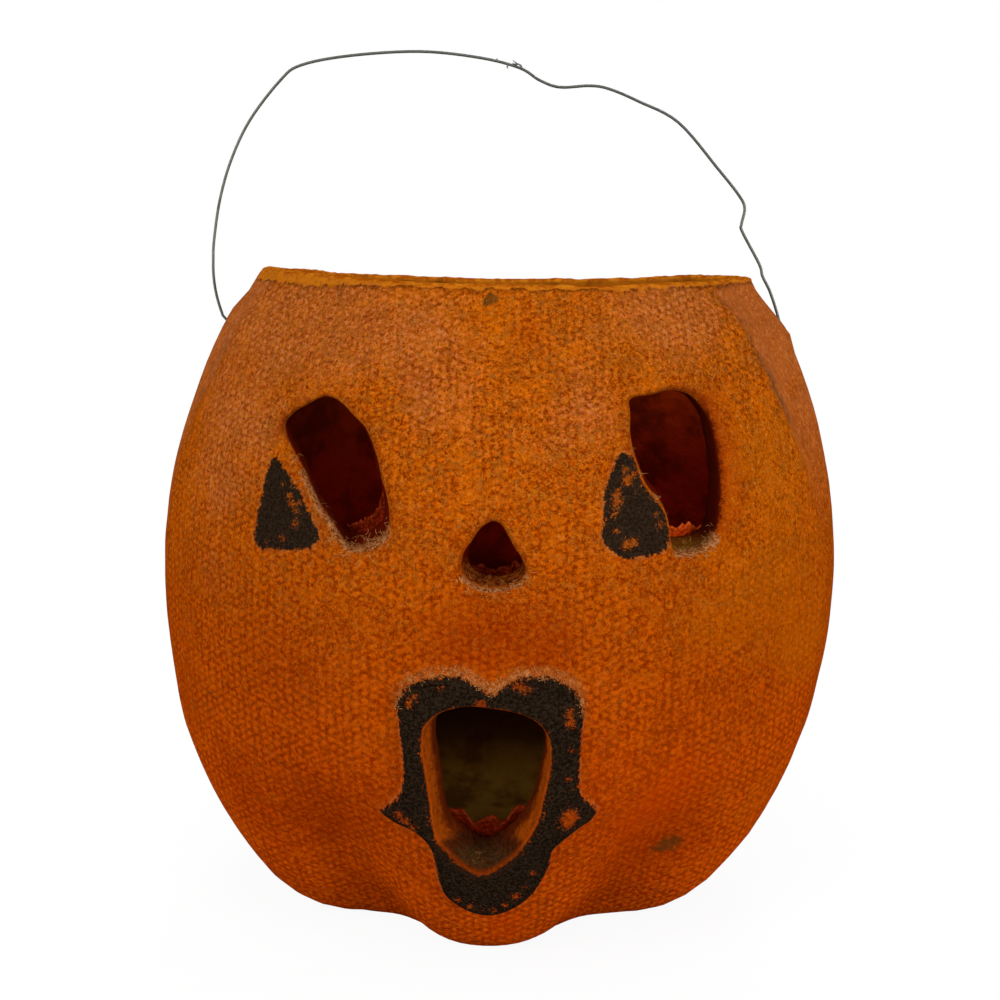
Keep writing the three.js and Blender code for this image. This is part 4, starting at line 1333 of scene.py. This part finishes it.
# Painted shade on the roll: dark red to near black as the roll turns in.
roll_shade_tone = lay(tree, "#a43a03", [("#460c02", (roll_depth, -0.2, 1.5))])
skin_colour = lay(tree, skin_colour, [
    ("#bc6c34", (know["paint"], -0.9, -0.1), (know["paint"], -0.1, 0.6, 1.0, 0.0),
     (seen["halo"], 0.4, 0.65, 0.0, 0.5)),
    (fuzz_and_highlight_tone, (know["lip"], -2.6, -1.2), (know["lip"], -0.3, 0.4, 1.0, 0.0),
     (height, 69, 72.5), (seen["fringe"], 0.42, 0.58, 0.15, 1.0), 0.62),
    (black, covered),
    ("#bc5810", (know["funnel"], 0.1, 1.2), (know["funnel"], 1.4, 3.2, 1.0, 0.0),
     (height, 30, 38, 0.3, 1.0), (at_opening["mouth"], 0, 1, 0.1, 0.4)),
    (roll_shade_tone, on_roll, (roll_depth, -0.8, 1.3, 0.0, 0.97)),
    # Painted shade along the eyes' rolled-in top edges.
    ("#702203", (shaken["rolled"], 0.15, 0.95), 0.75),
    # Painted shade of the wire holes, darkest at their middles.
    ("#1c0d06", (know["hole_gap"], 0.5, 1.3, 0.95, 0.0)),
])
print("nodes with paint and wear:", len(tree.nodes))


# %% Dyed pulp: the walls of the funnels, darker further in as painted shade
# The mouth funnel's foot: dark brown painted shade, with the raw pulp's olive at the very bottom.
foot = add(tree, "MapRange", (shaken["height"], 37.5, 35.0), **SMOOTHLY)
foot_tone = lay(tree, "#46200e", [
    ("#44341a", (height, 35, 31.5)),
    ("#24120a", (seen["foot"], 0.45, 0.58, 0.0, 0.7)),
])
# The mouth's wall darkens further in: painted shade.
mouth_wall = lay(tree, "#a44808", [
    ("#5a2006", (shaken["depth"], 4.2, 6.6)),
    (foot_tone, foot, 0.95),
])
web_tone = lay(tree, "#4e1c06", [("#8a4214", (seen["felt"], 0.42, 0.58))])
# Darker further in, and on the right eye's roll: painted shade.
funnel_colour = lay(tree, "#93370a", [
    ("#5c1204", (shaken["depth"], 1.6, 3.6)),
    ("#460c02", on_roll),
    ("#8a671f", at_opening["right eye"], (height, 101.5, 98.5), (speckle, 0.48, 0.58, 0.4, 1.0)),
    (web_tone, at_opening["nose"], (height, 98, 95)),
    (mouth_wall, at_opening["mouth"]),
    ("#3a1203", (speckle, 0.5, 0.4, 0.0, 0.45)),
])
print("nodes with the funnels' walls:", len(tree.nodes))


# %% Dyed pulp: raw fibres, the rim and the inside
fuzz_colour = lay(tree, "#6e3410", [("#b98654", (seen["fuzz hairs"], 0.44, 0.58))])
no_web = add(tree, "MapRange", (know["funnel"], 0.9, 1.8), **SMOOTHLY)
no_web = add(tree, "Math", (no_web, at_opening["nose"]), operation="MULTIPLY")
no_web = add(tree, "Math", (1.0, no_web), operation="SUBTRACT")
rim_colour = lay(tree, "#b2540a", [("#dc8018", (seen["rim"], 0.42, 0.6))])
# The inside's colour by height, mostly painted shade.
inside = lay(tree, dye_and_painted_light["inside"], [("#3a1004", (seen["inside"], 0.42, 0.62, 0.0, 0.6))])
past_rim = add(tree, "MapRange", (know["zone"], 1.2, 1.95), **SMOOTHLY)
past_funnel = add(tree, "MapRange", (know["funnel"], 8.5, 9.6), **SMOOTHLY)
behind = add(tree, "Math", (past_rim, past_funnel), operation="MAXIMUM")
skin_colour = lay(tree, skin_colour, [
    # Painted shade over the foot of the mouth's funnel.
    ("#2c1a0e", foot, at_opening["mouth"], 0.4),
    (funnel_colour, (know["funnel"], 1.6, 3.2)),
    (fuzz_colour, (shaken["raw"], 0.3, 0.75), (know["funnel"], 0.0, 0.35),
     (know["funnel"], 2.0, 4.5, 1.0, 0.0), no_web, (covered, 0, 1, 0.75, 0.1)),
    (rim_colour, (know["zone"], 0.15, 0.9)),
    (inside, behind),
    ("#4d3413", (shaken["smudge"], 0.35, 0.9), 0.75),
])
print("nodes with the rim and the inside:", len(tree.nodes))


# %% Dyed pulp: the shader, dull all over and hardly smoother where it is painted
tree.links.new(skin_colour, shader["Base Color"])
tree.links.new(add(tree, "MapRange", (covered, 0, 1, 0.94, 0.8), **SMOOTHLY), shader["Roughness"])
shader["Specular IOR Level"].default_value = 0.0
shader["IOR"].default_value = 1.45
bump = add(tree, "Bump", {"Height": relief, "Distance": MM, "Strength": 1.0})
tree.links.new(bump, shader["Normal"])
shell.data.materials.clear()
shell.data.materials.append(pulp)
print("pulp:", len(tree.nodes), "nodes")


# %% [markdown]
# The wire bail
#
# One length of thin steel wire, bent by hand and no longer a clean arch. A curve through its
# bends is given a round section and turned into a mesh, as the wire itself was drawn round and
# then bent. The bits caught on it near the top are short strands made the same way.

# %% Stations of the wire, in millimetres
WIRE_RADIUS = 0.35
WIRE_CLEARANCE = 0.4
BAIL_RISE = 65.8
ARCH_SWAY = 0.5
HOOK = {"drop": 6.5, "inset": 2, "bend": 1.4, "leg_bend": 0.6, "leg_offset": 0.1}
# From the left leg to the right one: x as a share of the reach of the hole, y as a share of the
# sway, z as a share of the rise above the holes.
ARCH = [
    (-1.034, 0, 0.037), (-1.048, 0, 0.082), (-1.059, 0, 0.131), (-1.065, 0, 0.186),
    (-1.065, 0, 0.242), (-1.061, 0.4, 0.316), (-1.037, 0.8, 0.464), (-0.993, 1, 0.609),
    (-0.921, 0.8, 0.754), (-0.807, 0.4, 0.897), (-0.73, 0, 0.951), (-0.55, -0.4, 0.985),
    (-0.3, -0.8, 1), (-0.085, -0.6, 0.979), (0.056, -0.2, 0.944), (0.126, 0, 0.901),
    (0.197, 0.2, 0.877), (0.301, 0.6, 0.883), (0.37, 0.8, 0.872), (0.474, 0.8, 0.828),
    (0.614, 0.6, 0.754), (0.757, 0, 0.588), (0.831, -0.6, 0.495), (0.853, -1, 0.448),
    (0.844, -1, 0.391), (0.848, -0.6, 0.362), (0.912, 0, 0.245), (0.925, 0, 0.201),
    (0.951, 0, 0.15), (0.974, 0, 0.088), (0.99, 0, 0.036),
]
ARCH_STEPS = 6
BARBS = [
    [(4.3, 202.0), (4.1, 202.7), (3.2, 203.1), (2.2, 203.8)],
    [(3.3, 203.0), (2.7, 202.9), (2.1, 203.2)],
    [(1.2, 202.9), (0.8, 202.3), (1.0, 201.9)],
    [(-1.4, 203.6), (-1.7, 204.3)],
]
BARB = {"y": -0.35, "root": 0.28, "tip": 0.1}
print("stations of the arch:", len(ARCH), "caught bits:", len(BARBS))


# %% Lines: an open curve, a bend, a hook and a point of the arch
def outside_reach(side, height):
    """How far the plain wall reaches to one side at a height, with the shell's lean."""
    return float(wall_radius(np.array(float(height)))) + side * LEAN * (height - BELLY_HEIGHT)


def open_curve(points, steps):
    """A smooth line through the points, from the first to the last."""
    points = np.array(points, float)
    padded = np.vstack([2 * points[0] - points[1], points, 2 * points[-1] - points[-2]])
    line = []
    for index in range(len(points) - 1):
        before, start, end, after = padded[index:index + 4]
        for step in range(steps):
            t = step / steps
            line.append(0.5 * (
                2 * start + (end - before) * t + (2 * before - 5 * start + 4 * end - after) * t**2
                + (3 * start - before - 3 * end + after) * t**3
            ))
    return np.array([*line, points[-1]])


def quarter_bend(start, corner, end, steps=5):
    t = np.linspace(0, 1, steps)[:, None]
    return (1 - t) ** 2 * np.array(start) + 2 * t * (1 - t) * np.array(corner) + t**2 * np.array(end)


def hook(side):
    """The wire's end, from the tip of the hook inside to the foot of the leg outside."""
    height, bend = WIRE_HOLE["height"], HOOK["bend"]
    inside = outside_reach(side, height) - WALL - HOOK["inset"]
    outside = outside_reach(side, height) + HOOK["leg_offset"]
    leg = outside + HOOK["leg_bend"]
    line = np.vstack([
        [(inside - bend, height - HOOK["drop"])],
        quarter_bend((inside - bend, height - bend), (inside - bend, height), (inside, height)),
        quarter_bend((outside, height), (leg, height), (leg, height + HOOK["leg_bend"])),
    ])
    return np.stack([side * line[:, 0], np.zeros(len(line)), line[:, 1]], axis=1)


def arch_point(across, sway, up):
    """A station of the arch, kept clear of the wall as far up as the rim."""
    side = math.copysign(1, across)
    z = WIRE_HOLE["height"] + up * BAIL_RISE
    reach = abs(across) * outside_reach(side, WIRE_HOLE["height"])
    if z < RIM_HEIGHT + RIM_WARP["ends"] + 2 * WIRE_RADIUS:
        outside = float(wall_radius(np.array(min(z, RIM_HEIGHT)))) + side * LEAN * (z - BELLY_HEIGHT)
        pinched = float(smooth(np.array(z), RIM_PINCH["from"], RIM_PINCH["to"]))
        outside *= 1 - RIM_PINCH["share"] * pinched
        reach = max(reach, outside + WIRE_RADIUS + WIRE_CLEARANCE / 2)
    return side * reach, sway * ARCH_SWAY, z


# %% The wire and the bits caught on it
def strands(name, lines, widths, sides=2):
    """Thin round strands along lines in mm, each tapering as its widths say, as one mesh."""
    curve = bpy.data.curves.new(name, "CURVE")
    curve.dimensions = "3D"
    curve.bevel_depth = MM
    curve.bevel_resolution = sides - 1
    curve.use_fill_caps = True
    for line, width in zip(lines, widths):
        spline = curve.splines.new("POLY")
        spline.points.add(len(line) - 1)
        for point, spot, radius in zip(spline.points, line, width):
            point.co = (*(Vector(spot) * MM), 1)
            point.radius = radius
    piece = bpy.data.objects.new(name, curve)
    bpy.context.scene.collection.objects.link(piece)
    make_active(piece)
    bpy.ops.object.convert(target="MESH")
    piece = bpy.context.object
    piece.data.name = name
    bpy.ops.object.shade_smooth()
    return piece


arch = open_curve([arch_point(*station) for station in ARCH], ARCH_STEPS)
route = np.vstack([hook(-1), arch, hook(1)[::-1]])
lines = [route]
widths = [np.full(len(route), WIRE_RADIUS)]
for barb in BARBS:
    lines.append([(x, BARB["y"], z) for x, z in barb])
    widths.append(np.linspace(BARB["root"], BARB["tip"], len(barb)))
wire = strands("steel_wire_bail", lines, widths, sides=4)
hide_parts("wire_bail")
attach(wire, "bail")
print("wire:", len(route), "stations,", len(wire.data.polygons), "faces")


# %% Steel wire: grey, dull, with brown rust here and there
steel, tree, shader, place = new_finish("dull_steel_wire")
rust_patches = {"Vector": place, "Scale": 0.12, "Detail": 4, "Roughness": 0.7}
rust = add(tree, "MapRange", (add(tree, "TexNoise", rust_patches), 0.55, 0.72), **SMOOTHLY)
fine = add(tree, "TexNoise", {"Vector": place, "Scale": 3.0, "Detail": 3, "Roughness": 0.6})
steel_colour = lay(tree, "#474842", [("#5c5d56", (fine, 0.35, 0.65)), ("#4d3a28", rust, 0.6)])
tree.links.new(steel_colour, shader["Base Color"])
tree.links.new(add(tree, "MapRange", (rust, 0, 1, 0.5, 0.75), **SMOOTHLY), shader["Roughness"])
shader["Metallic"].default_value = 0.75
tree.links.new(add(tree, "Bump", {"Height": fine, "Distance": 0.01 * MM}), shader["Normal"])
wire.data.materials.append(steel)
print("steel:", len(tree.nodes), "nodes")


# %% [markdown]
# Torn remains behind the openings
#
# Such lanterns had printed paper pasted behind the eyes and mouth. Only torn strips are left. Each
# starts as a flat grid, is laid between its torn line and the line where it is pasted, curls
# forward at the torn side, and gets its thickness from a Solidify modifier.

# %% Torn paper, in millimetres
SCRAP_THICKNESS = 0.4
PASTE_GAP = 0.5
SCRAP_GRID = (44, 12)
# For each node: the number of the opening it is behind, how far it curls, and its torn and its
# pasted line, x and z from the opening's middle.
SCRAPS = {
    "paper_scrap_left_eye": {
        "behind": 0, "curl": 1.4,
        "torn": [(1.6, -11.6), (4.2, -10.2), (6.0, -9.4), (7.4, -8.4), (8.8, -6.0), (9.4, -2.8)],
        "pasted": [
            (2.4, -14.4), (5.4, -14.8), (8.4, -14.2), (11.0, -11.8), (12.2, -8.8), (12.4, -5.6),
        ],
    },
    "paper_scrap_right_eye": {
        "behind": 1, "curl": 1.8,
        "torn": [
            (-3.4, -13.6), (-1.8, -12.8), (0.8, -12.2), (3.6, -12.1), (6.0, -12.8), (7.9, -14.4),
        ],
        "pasted": [
            (-3.4, -16.4), (-1.6, -16.7), (0.6, -16.8), (2.8, -16.8), (4.6, -16.8), (6.2, -16.0),
        ],
    },
    "paper_scrap_nose": {
        "behind": 2, "curl": 0.8,
        "torn": [(-6.3, -3.4), (-3.6, -2.9), (-0.4, -3.7), (2.6, -3.2), (4.8, -2.4), (6.7, -3.0)],
        "pasted": [(-5.9, -6.3), (-3.4, -6.5), (-0.6, -6.5), (2.0, -6.5), (4.4, -6.5), (6.4, -6.5)],
    },
    "paper_scrap_mouth": {
        "behind": 3, "curl": 1.2,
        "torn": [
            (-9.3, -8.4), (-6.2, -7.8), (-3.2, -11.4), (0.4, -9.4), (3.2, -11.0), (6.6, -7.0),
            (10.2, -8.2),
        ],
        "pasted": [
            (-8.0, -15.2), (-5.4, -17.4), (-2.8, -18.8), (0.2, -19.5), (3.2, -18.6), (5.6, -17.2),
            (8.0, -15.4),
        ],
    },
}


# %% A strip of paper between two lines
def scrap_places(piece, behind, curl, torn, pasted):
    """Where each corner of a flat grid goes, and how near it is to the torn side, from 0 to 1."""
    flat = corners(piece) + (0.5, 0.5, 0)
    along, share = flat[:, 0], flat[:, 1]
    sides = []
    for line in (open_curve(torn, 12), open_curve(pasted, 12)):
        stations = np.linspace(0, 1, len(line))
        sides.append(np.stack([np.interp(along, stations, line[:, axis]) for axis in (0, 1)], axis=1))
    spot = np.stack([along * 40, np.full(len(along), behind * 30.0), np.zeros(len(along))], axis=1)
    tear = 0.9 * lumps(spot, 3.1, 11) + 0.6 * lumps(spot, 1.1, 12)
    places = sides[0] * share[:, None] + sides[1] * (1 - share[:, None]) + OPENINGS[behind].middle
    places[:, 1] += tear * share**3
    start = np.zeros((len(places), 3))
    start[:, 0] = np.degrees(np.arctan2(places[:, 0], 75))
    start[:, 1] = np.interp(places[:, 1], [0, 150], [ROW_ENDS[1], OUTSIDE_ROWS])
    depth = FUNNEL_DEPTH + PASTE_GAP + SCRAP_THICKNESS
    crumple = 0.35 * lumps(np.c_[places, np.zeros(len(places))], 4, 13)
    y = front_y(places, start) + depth + crumple * 0.8 - curl * share**2.5 * 0.9 + 0.4
    return np.stack([places[:, 0], y, places[:, 1]], axis=1), share


def scrap_sheet(name, **scrap):
    """A curled strip of paper, as a mesh with thickness."""
    start_clean()
    bpy.ops.mesh.primitive_grid_add(x_subdivisions=SCRAP_GRID[0], y_subdivisions=SCRAP_GRID[1], size=1)
    piece = bpy.context.object
    piece.name = name + "_torn_strip"
    piece.data.name = piece.name
    places, torn_share = scrap_places(piece, **scrap)
    move_corners(piece, places * MM)
    write_value(piece, "torn", torn_share)
    make_active(piece)
    bpy.ops.object.modifier_add(type="SOLIDIFY")
    piece.modifiers[0].thickness = SCRAP_THICKNESS * MM
    piece.modifiers[0].offset = 0
    bpy.ops.object.modifier_apply(modifier=piece.modifiers[0].name)
    bpy.ops.object.shade_smooth()
    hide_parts(name)
    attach(piece, "shell")
    return piece


# %% Dyed paper, and the four scraps
def torn_paper(name, dark, lighter, torn_edge_and_highlight):
    """Dyed paper with its fibres showing, lighter along the torn side from torn fibres and a painted
    highlight.
    """
    finish, tree, shader, place = new_finish(name)
    torn_share = add(tree, "Attribute", take="Fac", attribute_name="torn")
    fibre = add(tree, "TexNoise", {"Vector": place, "Scale": 1.3, "Detail": 4, "Roughness": 0.75})
    colour = lay(tree, dark, [
        (lighter, (fibre, 0.42, 0.62)),
        (torn_edge_and_highlight, (torn_share, 0.75, 0.97), (fibre, 0.42, 0.55), 0.7),
    ])
    tree.links.new(colour, shader["Base Color"])
    shader["Roughness"].default_value = 0.95
    shader["Specular IOR Level"].default_value = 0.0
    tree.links.new(add(tree, "Bump", {"Height": fibre, "Distance": 0.2 * MM}), shader["Normal"])
    return finish


bright_red = torn_paper("torn_orange_red_paper", "#7a1c04", "#a83a08", "#c0501a")
deep_red = torn_paper("torn_deep_red_paper", "#4a0f03", "#7d2006", "#7a2a0c")
for name, scrap in SCRAPS.items():
    strip = scrap_sheet(name, **scrap)
    strip.data.materials.append(bright_red if "right_eye" in name else deep_red)
print("scraps:", len(SCRAPS))


# %% [markdown]
# Loose fibres
#
# Hairs of raw pulp stand out where the knife tore it, thickest at the bottoms of the eyes and
# along the top of the lips, and a few lie on the forehead. Each is a strand of three short
# lengths. They are rooted on the real surface, which is found by casting a ray at it.

# %% Fibres, in millimetres
FIBRE_RADIUS = 0.055
FIBRE_TIP = 0.4
FIBRE_CURL = 0.35
FIBRES_PER_TOUCH = 16
FIBRES_PER_LIP_POINT = 7
LIP_TOP = 66
FRONT_ONLY = -30
LOOSE_HAIRS = [
    [(9.9, 143.9), (11.4, 142.9), (12.8, 142.6), (13.9, 141.2), (14.6, 140.4)],
    [(46.2, 132.4), (47.0, 133.6), (47.9, 134.3)],
    [(-44.4, 127.6), (-43.6, 126.6), (-43.2, 125.4)],
    [(-43.9, 125.9), (-42.9, 126.4), (-42.4, 125.6)],
    [(-36.4, 110.4), (-34.8, 110.9), (-33.4, 110.2)],
    [(-36.8, 110.0), (-35.4, 109.4), (-34.9, 110.4)],
    [(-33.6, 106.4), (-32.2, 106.2), (-31.4, 105.2)],
]


def on_skin(x, z, lift=0.0):
    """The point of the skin, and its normal, straight behind a place seen from the front."""
    hit, spot, normal, _ = shell.ray_cast(Vector((x, -200, z)) * MM, Vector((0, 1, 0)))
    if not hit:
        return None, None
    return np.array(spot) / MM + np.array(normal) * lift, np.array(normal)


def fibre_from(x, z, toward, length, lift):
    """A curling strand from a place on the skin."""
    root, normal = on_skin(x, z, -0.05)
    if root is None or root[1] > FRONT_ONLY:
        return None
    run = np.array([toward[0], 0, toward[1]]) + normal * lift
    run /= np.linalg.norm(run)
    line = [root]
    for _ in range(3):
        run = run + np.array([random.gauss(0, FIBRE_CURL) for _ in range(3)])
        run /= np.linalg.norm(run)
        line.append(line[-1] + run * length / 3)
    return line


# %% Where the fibres stand
random.seed(31)
lines = []
for spot_x, spot_z, reach, strength in RAW_FIBRES:
    for _ in range(int(FIBRES_PER_TOUCH * strength * reach)):
        angle = random.uniform(0, math.tau)
        x = spot_x + random.gauss(0, reach * 0.6)
        z = spot_z + random.gauss(0, reach * 0.6)
        length, lift = random.uniform(0.5, 1.5), random.uniform(0, 0.4)
        lines.append(fibre_from(x, z, (math.cos(angle), math.sin(angle)), length, lift))
for index in np.flatnonzero(LIP_LINE[:, 1] > LIP_TOP):
    for _ in range(FIBRES_PER_LIP_POINT):
        x, z = LIP_LINE[index] + np.array([random.gauss(0, 0.5), random.gauss(0.5, 0.6)])
        way = (random.gauss(0, 0.8), random.gauss(0.6, 0.6))
        length, lift = random.uniform(0.4, 1.1), random.uniform(0, 0.4)
        lines.append(fibre_from(x, z, way, length, lift))
lines = [line for line in lines if line is not None]
for hair in LOOSE_HAIRS:
    spots_on = [on_skin(x, z, 0.25)[0] for x, z in hair]
    if all(spot is not None and spot[1] < FRONT_ONLY for spot in spots_on):
        lines.append(spots_on)
widths = [np.linspace(FIBRE_RADIUS, FIBRE_RADIUS * FIBRE_TIP, len(line)) for line in lines]
fibres = strands("raw_pulp_fibres", lines, widths, sides=1)
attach(fibres, "shell")
print("fibres:", len(lines), "faces:", len(fibres.data.polygons))


# %% Raw fibre: undyed, tan, dull
hair, tree, shader, place = new_finish("raw_undyed_pulp_fibre")
streaks = add(tree, "TexNoise", {"Vector": place, "Scale": 0.5, "Detail": 3, "Roughness": 0.6})
hair_colour = lay(tree, "#8c4c1a", [("#c2884e", (streaks, 0.38, 0.62))])
tree.links.new(hair_colour, shader["Base Color"])
shader["Roughness"].default_value = 0.9
shader["Specular IOR Level"].default_value = 0.1
fibres.data.materials.append(hair)
print("raw fibre:", len(tree.nodes), "nodes")


# %% [markdown]
# Camera, floor and light
#
# The photograph was taken from a little above, with the camera level with the rim and tipped
# down. The white round the object is the floor's and the world's colour for rays that come from
# the camera, so that the object itself is lit plainly, by four soft lamps and a pale world.

# %% Camera
CAMERA_PLACE = (13, -372, 158)
CAMERA_TURN = {"round": 2.0, "down": 9.31, "roll": 0.5}
camera_data = bpy.data.cameras.new("photo_camera")
camera_data.lens = 54
camera_data.sensor_width = 36
camera = bpy.data.objects.new("photo_camera", camera_data)
bpy.context.scene.collection.objects.link(camera)
turned = Matrix.Rotation(math.radians(CAMERA_TURN["round"]), 3, "Z")
turned = turned @ Matrix.Rotation(math.radians(90 - CAMERA_TURN["down"]), 3, "X")
turned = turned @ Matrix.Rotation(math.radians(CAMERA_TURN["roll"]), 3, "Z")
camera.matrix_world = Matrix.Translation(Vector(CAMERA_PLACE) * MM) @ turned.to_4x4()
bpy.context.scene.camera = camera
bpy.context.scene.view_settings.view_transform = "Standard"
print("camera:", CAMERA_PLACE, "mm, with a lens of", camera_data.lens, "mm")


# %% Floor, white for the camera with the object's shadow near its foot
WHITE = linear("#ffffff")
SHADOW = {"from": 90, "to": 260, "white near": 0.93, "white far": 1.0}


def seen_directly(tree):
    """1 for rays from the camera, also by way of glass or metal, and 0 for light's own rays."""
    rays = add(tree, "LightPath").node.outputs
    direct = rays["Is Camera Ray"]
    for kind in ("Is Transmission Ray", "Is Glossy Ray"):
        direct = add(tree, "Math", (direct, rays[kind]), operation="MAXIMUM")
    return direct


start_clean()
bpy.ops.mesh.primitive_plane_add(size=60, location=(0, 0, 0))
floor = bpy.context.object
floor.name = "pale_floor"
paper, tree, shader, place = new_finish("pale_floor_paper")
shader["Base Color"].default_value = linear("#d6d2cc")
shader["Roughness"].default_value = 0.9
far = add(tree, "VectorMath", (place,), take="Value", operation="LENGTH")
white_share = add(tree, "MapRange", (far, *SHADOW.values()))
shaded = add(tree, "BsdfDiffuse", (WHITE,))
white = add(tree, "Emission", (WHITE, 1.0))
shown = add(tree, "MixShader", (white_share, shaded, white))
surface = shader["Base Color"].node.outputs[0]
output = surface.links[0].to_socket
mixed = add(tree, "MixShader", (seen_directly(tree), surface, shown))
tree.links.new(mixed, output)
floor.data.materials.append(paper)
print("floor:", len(tree.nodes), "nodes")


# %% Four soft lamps, in metres and watts
LAMPS = {
    "left": {"place": (-0.75, -0.7, 0.4), "size": 0.3, "power": 6.7},
    "right": {"place": (0.85, -0.65, 0.22), "size": 0.3, "power": 8.0},
    "behind": {"place": (0.15, 0.85, 0.5), "size": 0.4, "power": 4.2},
    "above": {"place": (-0.05, -0.6, 0.95), "size": 0.4, "power": 1.7},
}
LAMP_TARGET = (0, 0, 0.08)
for name, lamp in LAMPS.items():
    light_data = bpy.data.lights.new(name, "AREA")
    light_data.size = lamp["size"]
    light_data.energy = lamp["power"]
    light_object = bpy.data.objects.new(name, light_data)
    bpy.context.scene.collection.objects.link(light_object)
    light_object.location = lamp["place"]
    aim = Vector(LAMP_TARGET) - Vector(lamp["place"])
    light_object.rotation_euler = aim.to_track_quat("-Z", "Y").to_euler()
print("lamps:", len(LAMPS))


# %% World, a plain light that the camera sees as white
WORLD_LIGHT = 0.62
world = bpy.data.worlds.new("studio")
bpy.context.scene.world = world
world.use_nodes = True
tree = world.node_tree
tree.nodes.clear()
plain = add(tree, "Background", (WHITE, WORLD_LIGHT))
backdrop = add(tree, "Background", (WHITE, 1.0))
add(tree, "OutputWorld", (add(tree, "MixShader", (seen_directly(tree), plain, backdrop)),))
print("world:", len(tree.nodes), "nodes")
